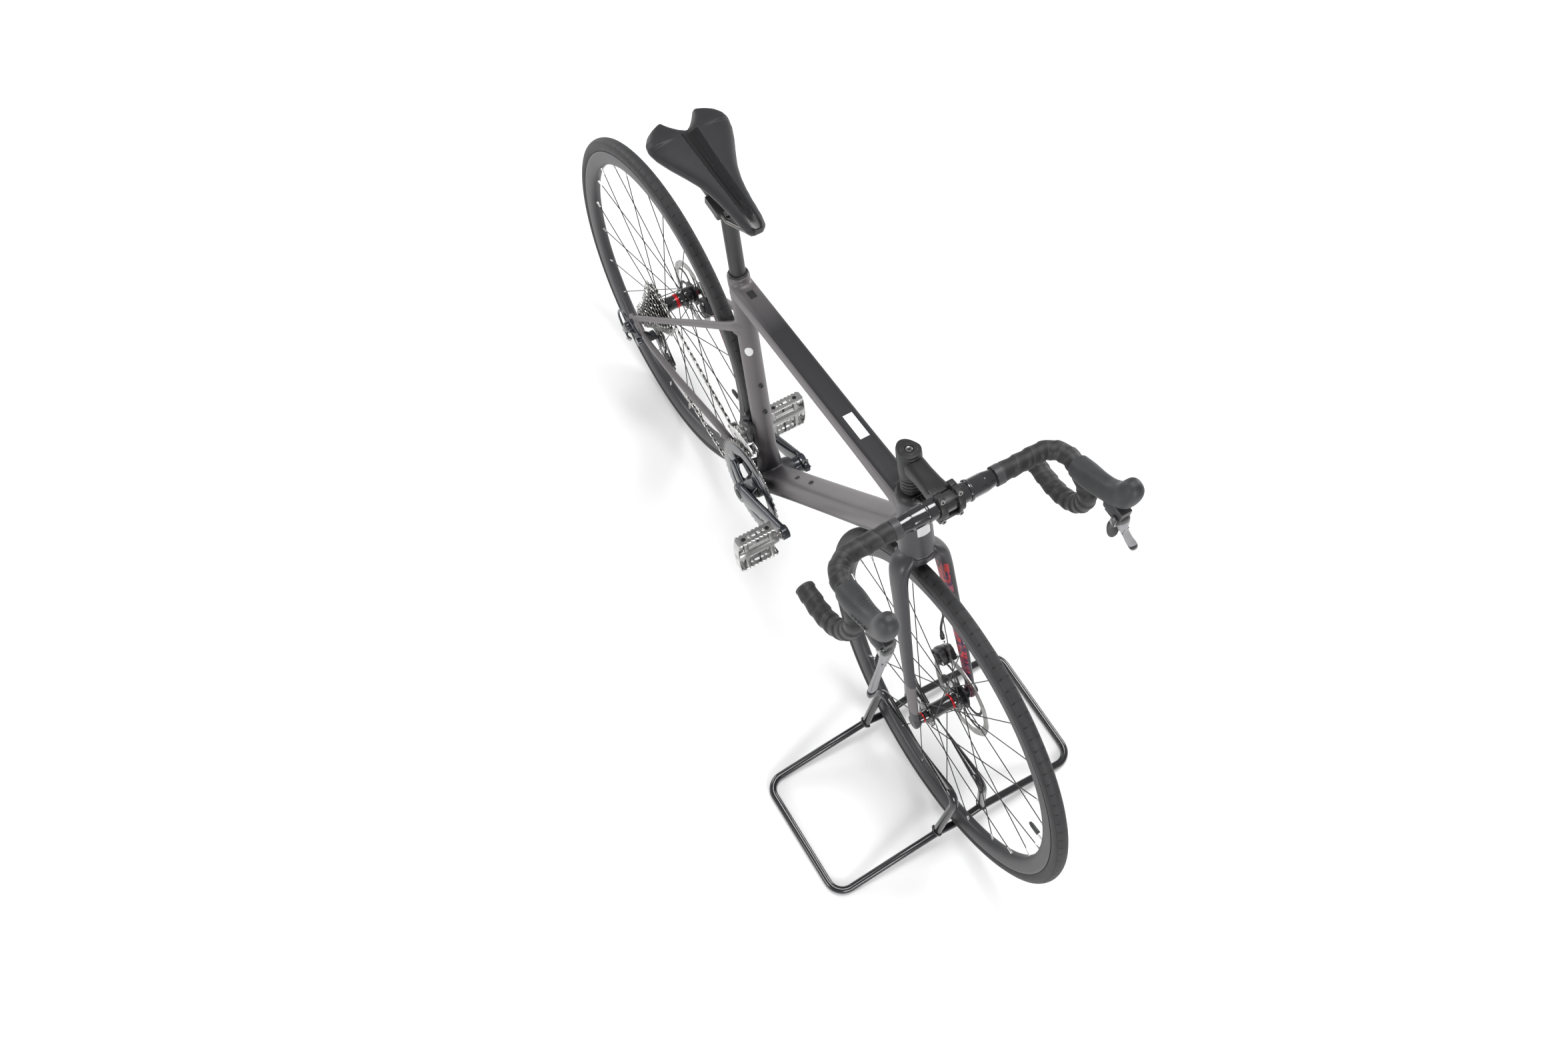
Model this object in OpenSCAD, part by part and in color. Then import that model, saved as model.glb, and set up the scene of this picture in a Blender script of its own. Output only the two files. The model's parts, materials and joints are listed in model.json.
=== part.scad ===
// Road bicycle with disc brakes, its front wheel held in a floor stand of bent rod.
// +X is the front of the bicycle, +Y its left side, +Z up. The origin is on the floor midway
// between the two wheels, under the middle of the frame's plane.

/* [Wheels] */
// Distance between the wheel centres
wheelbase = 962; // [956:1:975]
// Radius over the tyre
tyre_radius = 339; // [338:0.5:340]
// Spokes in each wheel
spoke_count = 24; // [16:4:28]
// How far the stand lifts the front wheel
front_lift = 10; // [6:1:14]

/* [Frame] */
// Slope of the steering axis
head_angle = 73; // [72.5:0.5:73.5]
// Slope of the seat tube
seat_angle = 74; // [73.5:0.5:74.5]
// Height of the crank centre above the floor
crank_centre_height = 269; // [266:1:272]
// Outer radius of the seat tube
seat_tube_r = 18.5; // [18:0.25:19]

/* [Handlebar] */
// Distance between the two hoods, middle to middle
bar_width = 396; // [380:2:420]
// Distance from the steering axis to the handlebar
stem_length = 93; // [88:1:100]
// Outward slope of the drops
drop_flare = 5; // [3:0.5:7]

/* [Drive] */
// Distance from crank centre to pedal
crank_length = 170; // [165:2.5:175]
// Crank position, 0 with the right arm straight forward
crank_angle = 30; // [20:1:40]
// Slope of the pedals
pedal_tilt = -78; // [-90:2:90]

/* [Saddle] */
// Distance along the seat tube from the crank centre to the saddle clamp
saddle_reach = 634; // [624:1:644]
// Diameter of the seatpost
post_d = 27.2; // [26.8:0.1:27.4]

/* [Stand] */
// Overall width of the base, side to side
stand_width = 542; // [500:2:600]
// Overall length of the base, front to back
stand_length = 262; // [250:1:270]
// Height of the weld between base and hoop
weld_height = 41; // [38:1:44]
// Height of the hoops' top rails
hoop_height = 190; // [180:1:200]
// Diameter of the base rod
base_rod_d = 14; // [12:0.5:15]
// Diameter of the hoop tube
hoop_tube_d = 16; // [15:0.5:17]

/* [Hidden] */
$fa = 6;
$fs = 0.9;
rear_hub = [-wheelbase / 2, 0, tyre_radius];
front_hub = [wheelbase / 2, 0, tyre_radius + front_lift];
tyre_r = 14;
rim_outer = 316.5;
rim_inner = 288;
rim_half = 12;
spoke_r = 0.9;

// Steering frame: local z runs up the steering axis, local x forward, zero level with the hub.
rake = 45;
tilt = 90 - head_angle;
steer_origin = front_hub - rake * [cos(tilt), 0, sin(tilt)];
crown_top = 371;
head_low = 374;
head_high = 494;
steerer_r = 14.3;
spacer_low = 506;
stem_low = 541;
stem_high = 583;
bar_level = 557;
bar_r = 15.9;
grip_r = 12;
tape_r = 15.3;
bar_centre = steer_origin + stem_length * [cos(tilt), 0, sin(tilt)]
    + bar_level * [-sin(tilt), 0, cos(tilt)];
half_bar = bar_width / 2;
bend_r = 36;
drop_top_r = 44;
drop_low_r = 84;
drop_end = 28;

// Frame points in the plane y = 0.
crank_centre = [-84, 0, crank_centre_height];
seat_dir = [-cos(seat_angle), 0, sin(seat_angle)];
seat_tube_top = 498;
shell_r = 23;
shell_half = 43;
post_r = post_d / 2;
post_bottom = 350;
down_head = steer_origin + 415 * [-sin(tilt), 0, cos(tilt)];
top_head = steer_origin + 468 * [-sin(tilt), 0, cos(tilt)];
top_seat = crank_centre + 470 * seat_dir;

// Drive train.
arm_dir = [cos(crank_angle), 0, sin(crank_angle)];
pedal_right_at = crank_centre + crank_length * arm_dir;
pedal_left_at = crank_centre - crank_length * arm_dir;
pitch = 12.7;
ring_small_r = 34 * pitch / 360 * 180 / PI;
ring_large_r = 50 * pitch / 360 * 180 / PI;
pulley_pitch_r = 11 * pitch / 360 * 180 / PI;
ring_small_y = -38;
ring_large_y = -45;
sprocket_teeth = [11, 12, 13, 14, 15, 17, 19, 21, 23, 25, 28];
sprocket_step = 3.74;
sprocket_first_y = -56.5;
chain_row = 9;
chain_y = sprocket_first_y + chain_row * sprocket_step;
chain_sprocket_r = sprocket_teeth[chain_row] * pitch / 360 * 180 / PI;
guide_at = rear_hub + [2, 0, -92];
tension_at = guide_at + [40, 0, -40];

// Saddle.
saddle_at = crank_centre + saddle_reach * seat_dir;
rail_z = saddle_at[2] + 15;
rail_r = 3.5;

// Stand.
stand_x = front_hub[0];
rod_r = base_rod_d / 2;
base_x = stand_length / 2 - rod_r;
base_y = stand_width / 2 - rod_r;
base_corner = 30;
weld_y = 50;
vee_reach = tyre_radius - tyre_r + (tyre_r + rod_r + 0.4) / cos(17);
vee_z = front_hub[2] - sqrt(pow(vee_reach, 2) - pow(base_x, 2));
hoop_r = hoop_tube_d / 2;
hoop_top_y = 28;
hoop_lean = atan2(weld_y - hoop_top_y, hoop_height - weld_height);
hoop_rise = (hoop_height - weld_height) / cos(hoop_lean);
hoop_corner = 24;

// Colours.
paint = [0.49, 0.47, 0.48];
paint_dark = [0.27, 0.27, 0.29];
black = [0.07, 0.07, 0.08];
rubber = [0.15, 0.15, 0.15];
steel = [0.75, 0.75, 0.76];
alloy = [0.65, 0.65, 0.67];

// A round rod from one point to another.
module rod(p, q, r) {
    v = q - p;
    l = norm(v);
    translate(p)
        rotate([0, acos(v[2] / l), atan2(v[1], v[0])])
            cylinder(r = r, h = l);
}

// A rectangle with round corners, centred.
module round_box(a, b, c) {
    square([a - 2 * c, b], center = true);
    square([a, b - 2 * c], center = true);
    for (i = [-1, 1])
        for (j = [-1, 1])
            translate([i * (a / 2 - c), j * (b / 2 - c)])
                circle(r = c);
}

// A tube of that section between two points in the plane y = 0, its width along y.
module flat_tube(p, q, depth, width, c) {
    v = q - p;
    translate(p)
        rotate([0, atan2(v[0], v[2]), 0])
            linear_extrude(height = norm(v))
                round_box(depth, width, c);
}

// A straight round piece along y between two distances.
module along_y(y0, y1, r) {
    translate([0, min(y0, y1), 0])
        rotate([-90, 0, 0])
            cylinder(r = r, h = abs(y1 - y0));
}

// Places its children on the steering axis.
module steering() {
    translate(steer_origin)
        rotate([0, -tilt, 0])
            children();
}

// A smooth curve through the given rows, each a point with any sizes after it.
function spline_at(a, b, c, d, t) =
    0.5 * (2 * b + (c - a) * t + (2 * a - 5 * b + 4 * c - d) * t * t
        + (3 * b - a - 3 * c + d) * t * t * t);
function spline(p, steps) = concat(
    [for (i = [0:len(p) - 2])
        for (k = [0:steps - 1])
            spline_at(p[max(i - 1, 0)], p[i], p[i + 1], p[min(i + 2, len(p) - 1)], k / steps)],
    [p[len(p) - 1]]);
function unit(v) = v / norm(v);
function spot(row) = [row[0], row[1], row[2]];

// One oval ring of a sweep. The first half size lies across the side direction, the second along it.
function ring(row, dir, side, sides) =
    let (u = unit(cross(dir, side)), w = cross(dir, u))
    [for (k = [0:sides - 1])
        spot(row) + row[3] * cos(360 * k / sides) * u + row[4] * sin(360 * k / sides) * w];

// Two triangles for each side between ring i and ring j.
function band(i, j, sides) =
    [for (k = [0:sides - 1])
        for (half = [0, 1])
            let (a = i * sides + k, b = i * sides + (k + 1) % sides, c = j * sides + (k + 1) % sides,
                d = j * sides + k)
            half == 0 ? [a, c, b] : [a, d, c]];

// An oval bar along rows of [x, y, z, half size, half size].
module sweep(rows, side, sides) {
    n = len(rows);
    rings = [for (i = [0:n - 1])
        each ring(rows[i], unit(spot(rows[min(i + 1, n - 1)]) - spot(rows[max(i - 1, 0)])), side,
            sides)];
    skin = [for (i = [0:n - 2]) each band(i, i + 1, sides)];
    start = [for (k = [0:sides - 1]) k];
    end = [for (k = [0:sides - 1]) n * sides - 1 - k];
    polyhedron(points = rings, faces = concat(skin, [start], [end]), convexity = 8);
}

// The same bar with its end joined to its start.
module sweep_closed(rows, side, sides) {
    n = len(rows);
    rings = [for (i = [0:n - 1])
        each ring(rows[i], unit(spot(rows[(i + 1) % n]) - spot(rows[(i + n - 1) % n])), side, sides)];
    skin = [for (i = [0:n - 1]) each band(i, (i + 1) % n, sides)];
    polyhedron(points = rings, faces = skin, convexity = 8);
}

// A round cord through the given points.
module cord(points, r, side, steps = 3) {
    sweep([for (q = spline(points, steps)) [q[0], q[1], q[2], r, r]], side, 8);
}

// ---- Stand ----

function base_bend(sx, sy, from) =
    [for (a = [from:15:from + 90])
        [stand_x + sx * (base_x - base_corner) + base_corner * cos(a),
            sy * (base_y - base_corner) + base_corner * sin(a), rod_r, rod_r, rod_r]];
function cross_rod(k) =
    [for (j = [-1:1])
        [stand_x + k * base_x, k * j * weld_y, j == 0 ? vee_z : weld_height, rod_r, rod_r]];

module stand_base() {
    color(black)
        sweep_closed(concat(base_bend(1, -1, -90), cross_rod(1), base_bend(1, 1, 0),
            base_bend(-1, 1, 90), cross_rod(-1), base_bend(-1, -1, 180)), [0, 0, 1], 16);
}

// One leaning hoop, m = 1 on the left of the wheel, -1 on the right.
module hoop(m) {
    run = base_x - hoop_corner - 2;
    translate([stand_x, m * weld_y, weld_height])
        rotate([m * hoop_lean, 0, 0]) {
            rod([-run, 0, hoop_rise], [run, 0, hoop_rise], hoop_r);
            for (k = [-1, 1]) {
                rod([k * (run + hoop_corner), 0, rod_r + 0.1],
                    [k * (run + hoop_corner), 0, hoop_rise - hoop_corner], hoop_r);
                translate([k * run, 0, hoop_rise - hoop_corner])
                    rotate([90, 0, 0])
                        rotate([0, 0, k > 0 ? 0 : 90])
                            rotate_extrude(angle = 90)
                                translate([hoop_corner, 0])
                                    circle(r = hoop_r);
            }
        }
}

module stand_hoops() {
    color(black) {
        hoop(1);
        hoop(-1);
    }
}

// ---- Wheels, drawn about their own centre with the axis along y ----

module turned() {
    rotate([90, 0, 0])
        rotate_extrude($fa = 3)
            children();
}

module tyre() {
    turned()
        difference() {
            union() {
                translate([tyre_radius - tyre_r, 0]) circle(r = tyre_r);
                translate([310.4, -10.2]) square([10, 20.4]);
            }
            translate([tyre_radius - tyre_r, 0]) circle(r = tyre_r - 2);
            translate([300, -8.3]) square([18, 16.6]);
            for (m = [-1, 1])
                translate([300, m > 0 ? 10.25 : -30.25]) square([rim_outer - 299.9, 20]);
            translate([300, -20]) square([10.4, 40]);
        }
}

module rim() {
    turned()
        polygon([[rim_inner, -5], [rim_inner, 5], [290, 7.5], [296, 10.2], [304, 11.6],
            [rim_outer - 1, rim_half], [rim_outer, 11.6], [rim_outer, 10.3], [310.3, 10.3],
            [310.3, 4], [306, 3], [306, -3], [310.3, -4], [310.3, -10.3],
            [rim_outer, -10.3], [rim_outer, -11.6], [rim_outer - 1, -rim_half], [304, -11.6],
            [296, -10.2], [290, -7.5]]);
}

// Spokes from two flanges, every second one on the other side and pulling the other way.
module spokes(right_y, left_y, flange_r) {
    per_side = spoke_count / 2;
    for (i = [0:spoke_count - 1]) {
        flange_y = i % 2 == 0 ? right_y : left_y;
        pull = floor(i / 2) % 2 == 0 ? 1 : -1;
        at_rim = 360 * i / spoke_count;
        at_hub = at_rim + pull * 62;
        rod([flange_r * cos(at_hub), flange_y + pull * 2.8, flange_r * sin(at_hub)],
            [(rim_inner - 0.1) * cos(at_rim), (flange_y > 0 ? 1.6 : -1.6),
                (rim_inner - 0.1) * sin(at_rim)], spoke_r);
    }
}

module hub(right_y, left_y, half_old, disc_y) {
    turned()
        polygon([[6.1, -half_old], [9, -half_old], [9, -half_old + 8], [12, -half_old + 10],
            [12, -left_y - 8], [disc_y > 0 ? 17 : 12, -left_y - 8], [17, -left_y - 3],
            [22.5, -left_y - 1.5], [22.5, -left_y + 1.5], [15, -left_y + 4],
            [12.5, 0], [15, -right_y - 4], [22.5, -right_y - 1.5], [22.5, -right_y + 1.5],
            [12, -right_y + 3], [12, half_old - 10], [9, half_old - 8], [9, half_old],
            [6.1, half_old]]);
}

// Disc rotor: a drilled band on slanting arms, about y = 0.
module rotor(r, bore) {
    band = 13;
    rotate([90, 0, 0])
        translate([0, 0, -0.9])
            linear_extrude(height = 1.8) {
                difference() {
                    circle(r = r);
                    circle(r = r - band);
                    for (i = [0:23])
                        rotate(15 * i)
                            translate([r - (i % 2 == 0 ? 4.5 : 8.5), 0])
                                circle(r = 2, $fn = 12);
                }
                difference() {
                    union() {
                        circle(r = 25);
                        for (i = [0:5])
                            rotate(60 * i)
                                translate([12, -4])
                                    square([r - band - 11, 8]);
                    }
                    circle(r = bore);
                }
            }
}

module front_tyre() {
    color(rubber) translate(front_hub) tyre();
}

module front_rim() {
    color(black) translate(front_hub) rim();
}

module front_spokes() {
    color(black) translate(front_hub) spokes(-32, 24, 21.5);
}

module front_hub_body() {
    color(black) translate(front_hub) hub(-32, 24, 49.9, 38);
}

module front_rotor() {
    color(steel) translate(front_hub + [0, 38, 0]) rotor(80, 12.1);
}

module rear_tyre() {
    color(rubber) translate(rear_hub) tyre();
}

module rear_rim() {
    color(black) translate(rear_hub) rim();
}

module rear_spokes() {
    color(black) translate(rear_hub) spokes(-11.5, 34, 21.5);
}

module rear_hub_body() {
    color(black)
        translate(rear_hub)
            turned()
                polygon([[6.1, -70.9], [9, -70.9], [9, -60], [12, -58], [12, -42], [17, -42],
                    [17, -38], [22.5, -35.5], [22.5, -32.5], [15, -29], [13, -10],
                    [15, 7], [22.5, 10], [22.5, 13], [14, 15], [14, 17.6], [8.6, 17.6],
                    [8.6, 70.9], [6.1, 70.9]]);
}

module rear_rotor() {
    color(steel) translate(rear_hub + [0, 55, 0]) rotor(70, 12.1);
}

// ---- Front end ----

module fork() {
    color(paint_dark)
        steering()
            difference() {
                union() {
                    translate([0, 0, crown_top - 1]) cylinder(r = 19.8, h = 15);
                    translate([0, 0, crown_top + 14]) cylinder(r1 = 19.8, r2 = steerer_r, h = 36);
                    translate([0, 0, crown_top + 50]) cylinder(r = steerer_r, h = 162);
                    hull() {
                        translate([0, 0, crown_top - 6]) cylinder(r = 28, h = 6, $fn = 48);
                        translate([6, 0, 348]) linear_extrude(height = 3) round_box(40, 96, 14);
                    }
                    for (m = [-1, 1]) {
                        hull() {
                            translate([6, m * 37, 346])
                                linear_extrude(height = 3) round_box(40, 22, 10, $fn = 32);
                            translate([43, m * 57, 24])
                                linear_extrude(height = 2) round_box(24, 12, 5, $fn = 32);
                        }
                        hull() {
                            translate([43, m * 57, 24])
                                linear_extrude(height = 2) round_box(24, 12, 5, $fn = 32);
                            translate([rake, 0, 0]) along_y(m * 51, m * 63, 13, $fn = 32);
                        }
                    }
                }
                translate([rake, 0, 0]) along_y(-70, 70, 6.15);
                translate([0, 0, crown_top + 20]) cylinder(r = 10.5, h = 200);
            }
}

module headset_spacers() {
    color(black)
        steering() {
            difference() {
                translate([0, 0, head_high + 0.4])
                    cylinder(r1 = 26.8, r2 = 26.2, h = spacer_low - head_high - 0.5);
                translate([0, 0, head_high]) cylinder(r = steerer_r + 0.1, h = 20);
                translate([16.7, -12, head_high]) cube([12, 24, 20]);
            }
            for (i = [0:4])
                difference() {
                    translate([0, 0, spacer_low + 7 * i]) cylinder(r = 17.6, h = 6.9);
                    translate([0, 0, spacer_low - 1]) cylinder(r = steerer_r + 0.1, h = 40);
                }
        }
}

// Places its children at the middle of the handlebar, square to the steering axis.
module at_bar() {
    translate([stem_length, 0, bar_level])
        children();
}

module face_bolt_spots() {
    for (y = [-15, 15])
        for (z = [-20.5, 20.5])
            at_bar() translate([0, y, z]) rotate([0, 90, 0]) children();
}

module stem() {
    color(black)
        steering()
            difference() {
                union() {
                    translate([0, 0, stem_low]) cylinder(r = 19, h = stem_high - stem_low);
                    translate([-26, -9, stem_low + 3]) cube([16, 18, stem_high - stem_low - 6]);
                    hull() {
                        translate([6, 0, stem_low + 3]) cylinder(r = 16, h = 36, $fn = 40);
                        at_bar() translate([-14, 0, 0]) along_y(-19, 19, 13, $fn = 40);
                    }
                    at_bar() along_y(-20, 20, 20.5);
                    for (y = [-15, 15])
                        at_bar() translate([-13, y - 5, -25.5]) cube([13, 10, 51]);
                }
                translate([0, 0, stem_low - 1]) cylinder(r = steerer_r + 0.05, h = 60);
                at_bar() along_y(-30, 30, bar_r + 0.05);
                at_bar() translate([-0.5, -30, -40]) cube([60, 60, 80]);
                translate([-40, -0.7, stem_low - 1]) cube([30, 1.4, 60]);
                for (z = [10, 32])
                    translate([-20.5, 0, stem_low + z]) along_y(-20, 20, 2.5);
                face_bolt_spots() translate([0, 0, -20]) cylinder(r = 2.5, h = 40);
            }
}

module stem_face_plate() {
    color(black)
        steering()
            difference() {
                at_bar() {
                    for (y = [-15, 15]) {
                        translate([0, y - 5, 0]) rotate([-90, 0, 0]) cylinder(r = 20.5, h = 10);
                        translate([0, y - 5, -25.5]) cube([11, 10, 51]);
                    }
                    rotate([0, 0, 0]) along_y(-11, 11, 18.5);
                }
                at_bar() along_y(-30, 30, bar_r + 0.05);
                at_bar() translate([-60, -30, -40]) cube([60.5, 60, 80]);
                at_bar() translate([0, -8, -12]) cube([40, 16, 24]);
                face_bolt_spots() translate([0, 0, -20]) cylinder(r = 2.55, h = 50);
                face_bolt_spots() translate([0, 0, 11]) cylinder(r = 4.6, h = 12);
            }
}

module stem_bolts() {
    color(steel)
        steering() {
            face_bolt_spots() {
                translate([0, 0, -12]) cylinder(r = 2.45, h = 23.1);
                difference() {
                    translate([0, 0, 11.05]) cylinder(r = 4.2, h = 4.5);
                    translate([0, 0, 13]) cylinder(r = 2, h = 4, $fn = 6);
                }
            }
            for (z = [10, 32])
                translate([-20.5, 0, stem_low + z]) {
                    along_y(-8.5, 9.1, 2.45);
                    difference() {
                        along_y(9.05, 13.5, 4.2);
                        along_y(11.5, 14, 2, $fn = 6);
                    }
                }
        }
}

module top_cap() {
    color(black)
        steering()
            difference() {
                union() {
                    translate([0, 0, stem_high + 0.05]) cylinder(r = 18.5, h = 4);
                    translate([0, 0, stem_high + 4]) cylinder(r1 = 18.5, r2 = 15, h = 2.5);
                }
                translate([0, 0, stem_high + 3]) cylinder(r = 5, h = 6);
                translate([0, 0, stem_high + 2]) cylinder(r = 2.6, h = 6, $fn = 6);
            }
}

// The left half of the handlebar's line, from its middle part out and down to the end of the drop.
function flared(x, z) = [bend_r + x, half_bar - sin(drop_flare) * z, cos(drop_flare) * z];
bar_line = concat(
    [for (y = [50, 84, 124, half_bar - bend_r]) [0, y, 0]],
    [for (a = [15:15:75]) [bend_r * (1 - cos(a)), half_bar - bend_r + bend_r * sin(a), 0]],
    [for (a = [90:-15:0]) flared(drop_top_r * cos(a), drop_top_r * (sin(a) - 1))],
    [for (a = [-15:-15:-90])
        flared(drop_top_r - drop_low_r + drop_low_r * cos(a), drop_low_r * sin(a) - drop_top_r)],
    [flared(drop_top_r - drop_low_r - drop_end, -drop_top_r - drop_low_r)]);

module bar_sweep(r, first) {
    sweep([for (i = [first:len(bar_line) - 1]) [each bar_line[i], r, r]], [1, 1, 1], 16);
}

module bar_half() {
    translate([0, 58, 0]) rotate([-90, 0, 0]) cylinder(r1 = bar_r, r2 = grip_r + 0.4, h = 25);
    bar_sweep(grip_r, 0);
}

module handlebar() {
    color(black)
        translate(bar_centre) {
            along_y(-60, 60, bar_r);
            bar_half();
            mirror([0, 1, 0]) bar_half();
        }
}

// The tape is a tube along the same line, open at both ends.
module tape() {
    rows = [for (i = [1:len(bar_line) - 1]) bar_line[i]];
    n = len(rows);
    skins = [for (r = [tape_r, grip_r + 0.3])
        for (i = [0:n - 1])
            each ring([each rows[i], r, r], unit(bar_line[min(i + 2, n)] - bar_line[i]), [1, 1, 1], 16)];
    outer = [for (i = [0:n - 2]) each band(i, i + 1, 16)];
    inner = [for (i = [n:2 * n - 2]) for (f = band(i, i + 1, 16)) [f[0], f[2], f[1]]];
    polyhedron(points = skins, faces = concat(outer, inner, band(n, 0, 16),
        band(n - 1, 2 * n - 1, 16)), convexity = 8);
}

module bar_tape() {
    color(rubber)
        translate(bar_centre) {
            tape();
            mirror([0, 1, 0]) tape();
        }
}

// Lever body under the hood, with the bore for the brake lever's pin.
pivot_x = 147;
pivot_z = 12;

module lever_body(gap) {
    translate([124 - gap, half_bar - 9 - gap, 2 - gap])
        cube([31 + gap, 18 + 2 * gap, 30 + 2 * gap]);
}

hood_line = [[50, 0, 3, 18.5, 18.5], [70, 0, 9, 20, 19.5], [92, 0, 18, 20.5, 19],
    [118, 0, 32, 22, 18], [138, 0, 52, 20, 16], [144, 0, 76, 15, 14], [143, 0, 93, 8, 9]];

module hood() {
    difference() {
        translate([0, half_bar, 0]) sweep(spline(hood_line, 2), [0, 1, 0], 16);
        bar_sweep(tape_r + 0.1, 4);
        lever_body(0.05);
        translate([110, half_bar - 30, -30]) cube([80, 60, 50]);
    }
}

module lever_hoods() {
    color(rubber)
        translate(bar_centre) {
            hood();
            mirror([0, 1, 0]) hood();
        }
}

module lever_bodies() {
    color(black)
        translate(bar_centre)
            for (m = [0, 1])
                mirror([0, m, 0])
                    difference() {
                        lever_body(0);
                        translate([pivot_x, half_bar, pivot_z]) along_y(-30, 30, 2.05);
                    }
}

// The pin the shift paddle turns on, along x.
module shift_pin(r, length) {
    translate([138, -2, -11])
        rotate([0, 90, 0])
            cylinder(r = r, h = length);
}

module brake_lever() {
    translate([0, half_bar, 0])
        difference() {
            union() {
                translate([pivot_x, 0, pivot_z]) along_y(-13, 13, 2);
                for (y = [-12.8, 9.5])
                    translate([pivot_x, y, pivot_z]) {
                        along_y(0, 3.3, 5.5);
                        translate([-5.5, 0, -16]) cube([11, 3.3, 16]);
                    }
                translate([pivot_x - 5.5, -12.8, pivot_z - 19.5]) cube([11, 25.6, 6]);
                translate([145.2, -7, -16]) cube([2.6, 10, 10]);
                hull() {
                    translate([pivot_x + 1, 4, pivot_z - 18.5]) sphere(r = 6, $fn = 24);
                    translate([160, 16, -40]) sphere(r = 6, $fn = 24);
                }
                hull() {
                    translate([160, 16, -40]) sphere(r = 6, $fn = 24);
                    translate([168, 30, -76]) sphere(r = 7, $fn = 24);
                }
            }
            shift_pin(2.55, 11);
        }
}

module brake_lever_left() {
    color(alloy) translate(bar_centre) brake_lever();
}

module brake_lever_right() {
    color(alloy) translate(bar_centre) mirror([0, 1, 0]) brake_lever();
}

module shift_lever() {
    translate([0, half_bar, 0]) {
        shift_pin(2.5, 9.8);
        hull() {
            translate([140, 1, -11]) sphere(r = 3, $fn = 20);
            translate([140, -6, -16]) sphere(r = 3, $fn = 20);
            translate([148, 10, -50]) sphere(r = 3, $fn = 20);
            translate([148, -2, -44]) sphere(r = 3, $fn = 20);
        }
    }
}

module shift_lever_left() {
    color(black) translate(bar_centre) shift_lever();
}

module shift_lever_right() {
    color(black) translate(bar_centre) mirror([0, 1, 0]) shift_lever();
}

// Two hoses and two cable housings, from under the bar into the slot of the headset cover.
module control_cables() {
    color(black)
        steering() {
            for (m = [-1, 1]) {
                cord([[80, m * 84, 538], [79, m * 60, 536.5], [75, m * 38, 533], [64, m * 22, 527],
                    [48, m * 13, 520], [32, m * 10, 512], [23, m * 9.6, 505],
                    [19.1, m * 9.6, 496]], 2.2, [1, m * 0.3, 1]);
                cord([[85, m * 84, 532], [83, m * 60, 530], [78, m * 38, 527], [66, m * 18, 521],
                    [49, m * 6, 514], [33, m * 4, 507], [24, m * 3.6, 502],
                    [19.1, m * 3.5, 496]], 2, [1, m * 0.3, 1]);
            }
        }
}

// A disc brake caliper about the rotor's plane, its slot open downward.
module caliper() {
    difference() {
        union() {
            rotate([90, 0, 0])
                translate([0, 0, -15])
                    linear_extrude(height = 26)
                        round_box(38, 30, 8);
            translate([-20, -6, 4]) cube([40, 12, 8]);
            along_y(-12, 17, 11);
        }
        translate([-40, -1.6, -20]) cube([80, 3.2, 26]);
    }
}

module front_caliper() {
    color(black)
        steering()
            translate([-5, 38, 60])
                rotate([0, -40, 0])
                    caliper();
}

module front_brake_hose() {
    color(black)
        steering()
            cord([[-24, 50, 80], [-27, 50, 100], [-20, 49, 130], [-9, 48, 170], [-7, 46, 220],
                [-6, 43, 262]], 2.4, [0, 1, 0.1]);
}

module front_axle() {
    color(black)
        translate(front_hub)
            difference() {
                union() {
                    along_y(-62.5, 64, 6);
                    along_y(63.2, 66.5, 9.5);
                }
                along_y(64, 68, 3, $fn = 6);
                along_y(-63, -50, 3, $fn = 6);
            }
}

// ---- Frame ----

module head_shape(r) {
    steering() translate([0, 0, head_low]) cylinder(r1 = 28.5 + r, r2 = 26 + r, h = head_high - head_low);
}

module seat_shape(r) {
    translate(crank_centre)
        rotate([0, -(90 - seat_angle), 0])
            cylinder(r = seat_tube_r + r, h = seat_tube_top);
}

module shell_shape(r) {
    translate(crank_centre) along_y(-shell_half, shell_half, shell_r + r);
}

module head_tube() {
    color(paint)
        difference() {
            head_shape(0);
            steering() {
                translate([0, 0, head_low - 1]) cylinder(r = 26.05, h = 10);
                translate([0, 0, head_low]) cylinder(r = 21.5, h = 140);
            }
        }
}

module top_tube() {
    color(paint)
        difference() {
            flat_tube(top_seat, top_head, 34, 42, 9);
            flat_tube(top_seat, top_head, 30, 38, 7);
            head_shape(0.02);
            seat_shape(0.02);
        }
}

module down_tube() {
    color(paint)
        difference() {
            flat_tube(crank_centre, down_head, 40, 56, 13);
            flat_tube(crank_centre, down_head, 36, 52, 11);
            head_shape(0.02);
            seat_shape(0.02);
            shell_shape(0.02);
            for (s = [150, 214])
                translate(crank_centre)
                    rotate([0, atan2(down_head[0] - crank_centre[0], down_head[2] - crank_centre[2]), 0])
                        translate([0, 0, s]) rotate([0, -90, 0]) cylinder(r = 2.5, h = 30);
        }
}

module seat_tube() {
    color(paint)
        difference() {
            union() {
                seat_shape(0);
                shell_shape(0);
                translate(crank_centre + 492 * seat_dir)
                    rotate([0, -(90 - seat_angle), 0]) cylinder(r = seat_tube_r + 1.5, h = 8);
            }
            translate(crank_centre + 60 * seat_dir)
                rotate([0, -(90 - seat_angle), 0]) cylinder(r = post_r + 0.05, h = 500);
            translate(crank_centre) along_y(-60, 60, 20.05);
            for (s = [190, 254])
                translate(crank_centre + s * seat_dir)
                    rotate([0, seat_angle, 0]) cylinder(r = 2.5, h = 40);
        }
}

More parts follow.
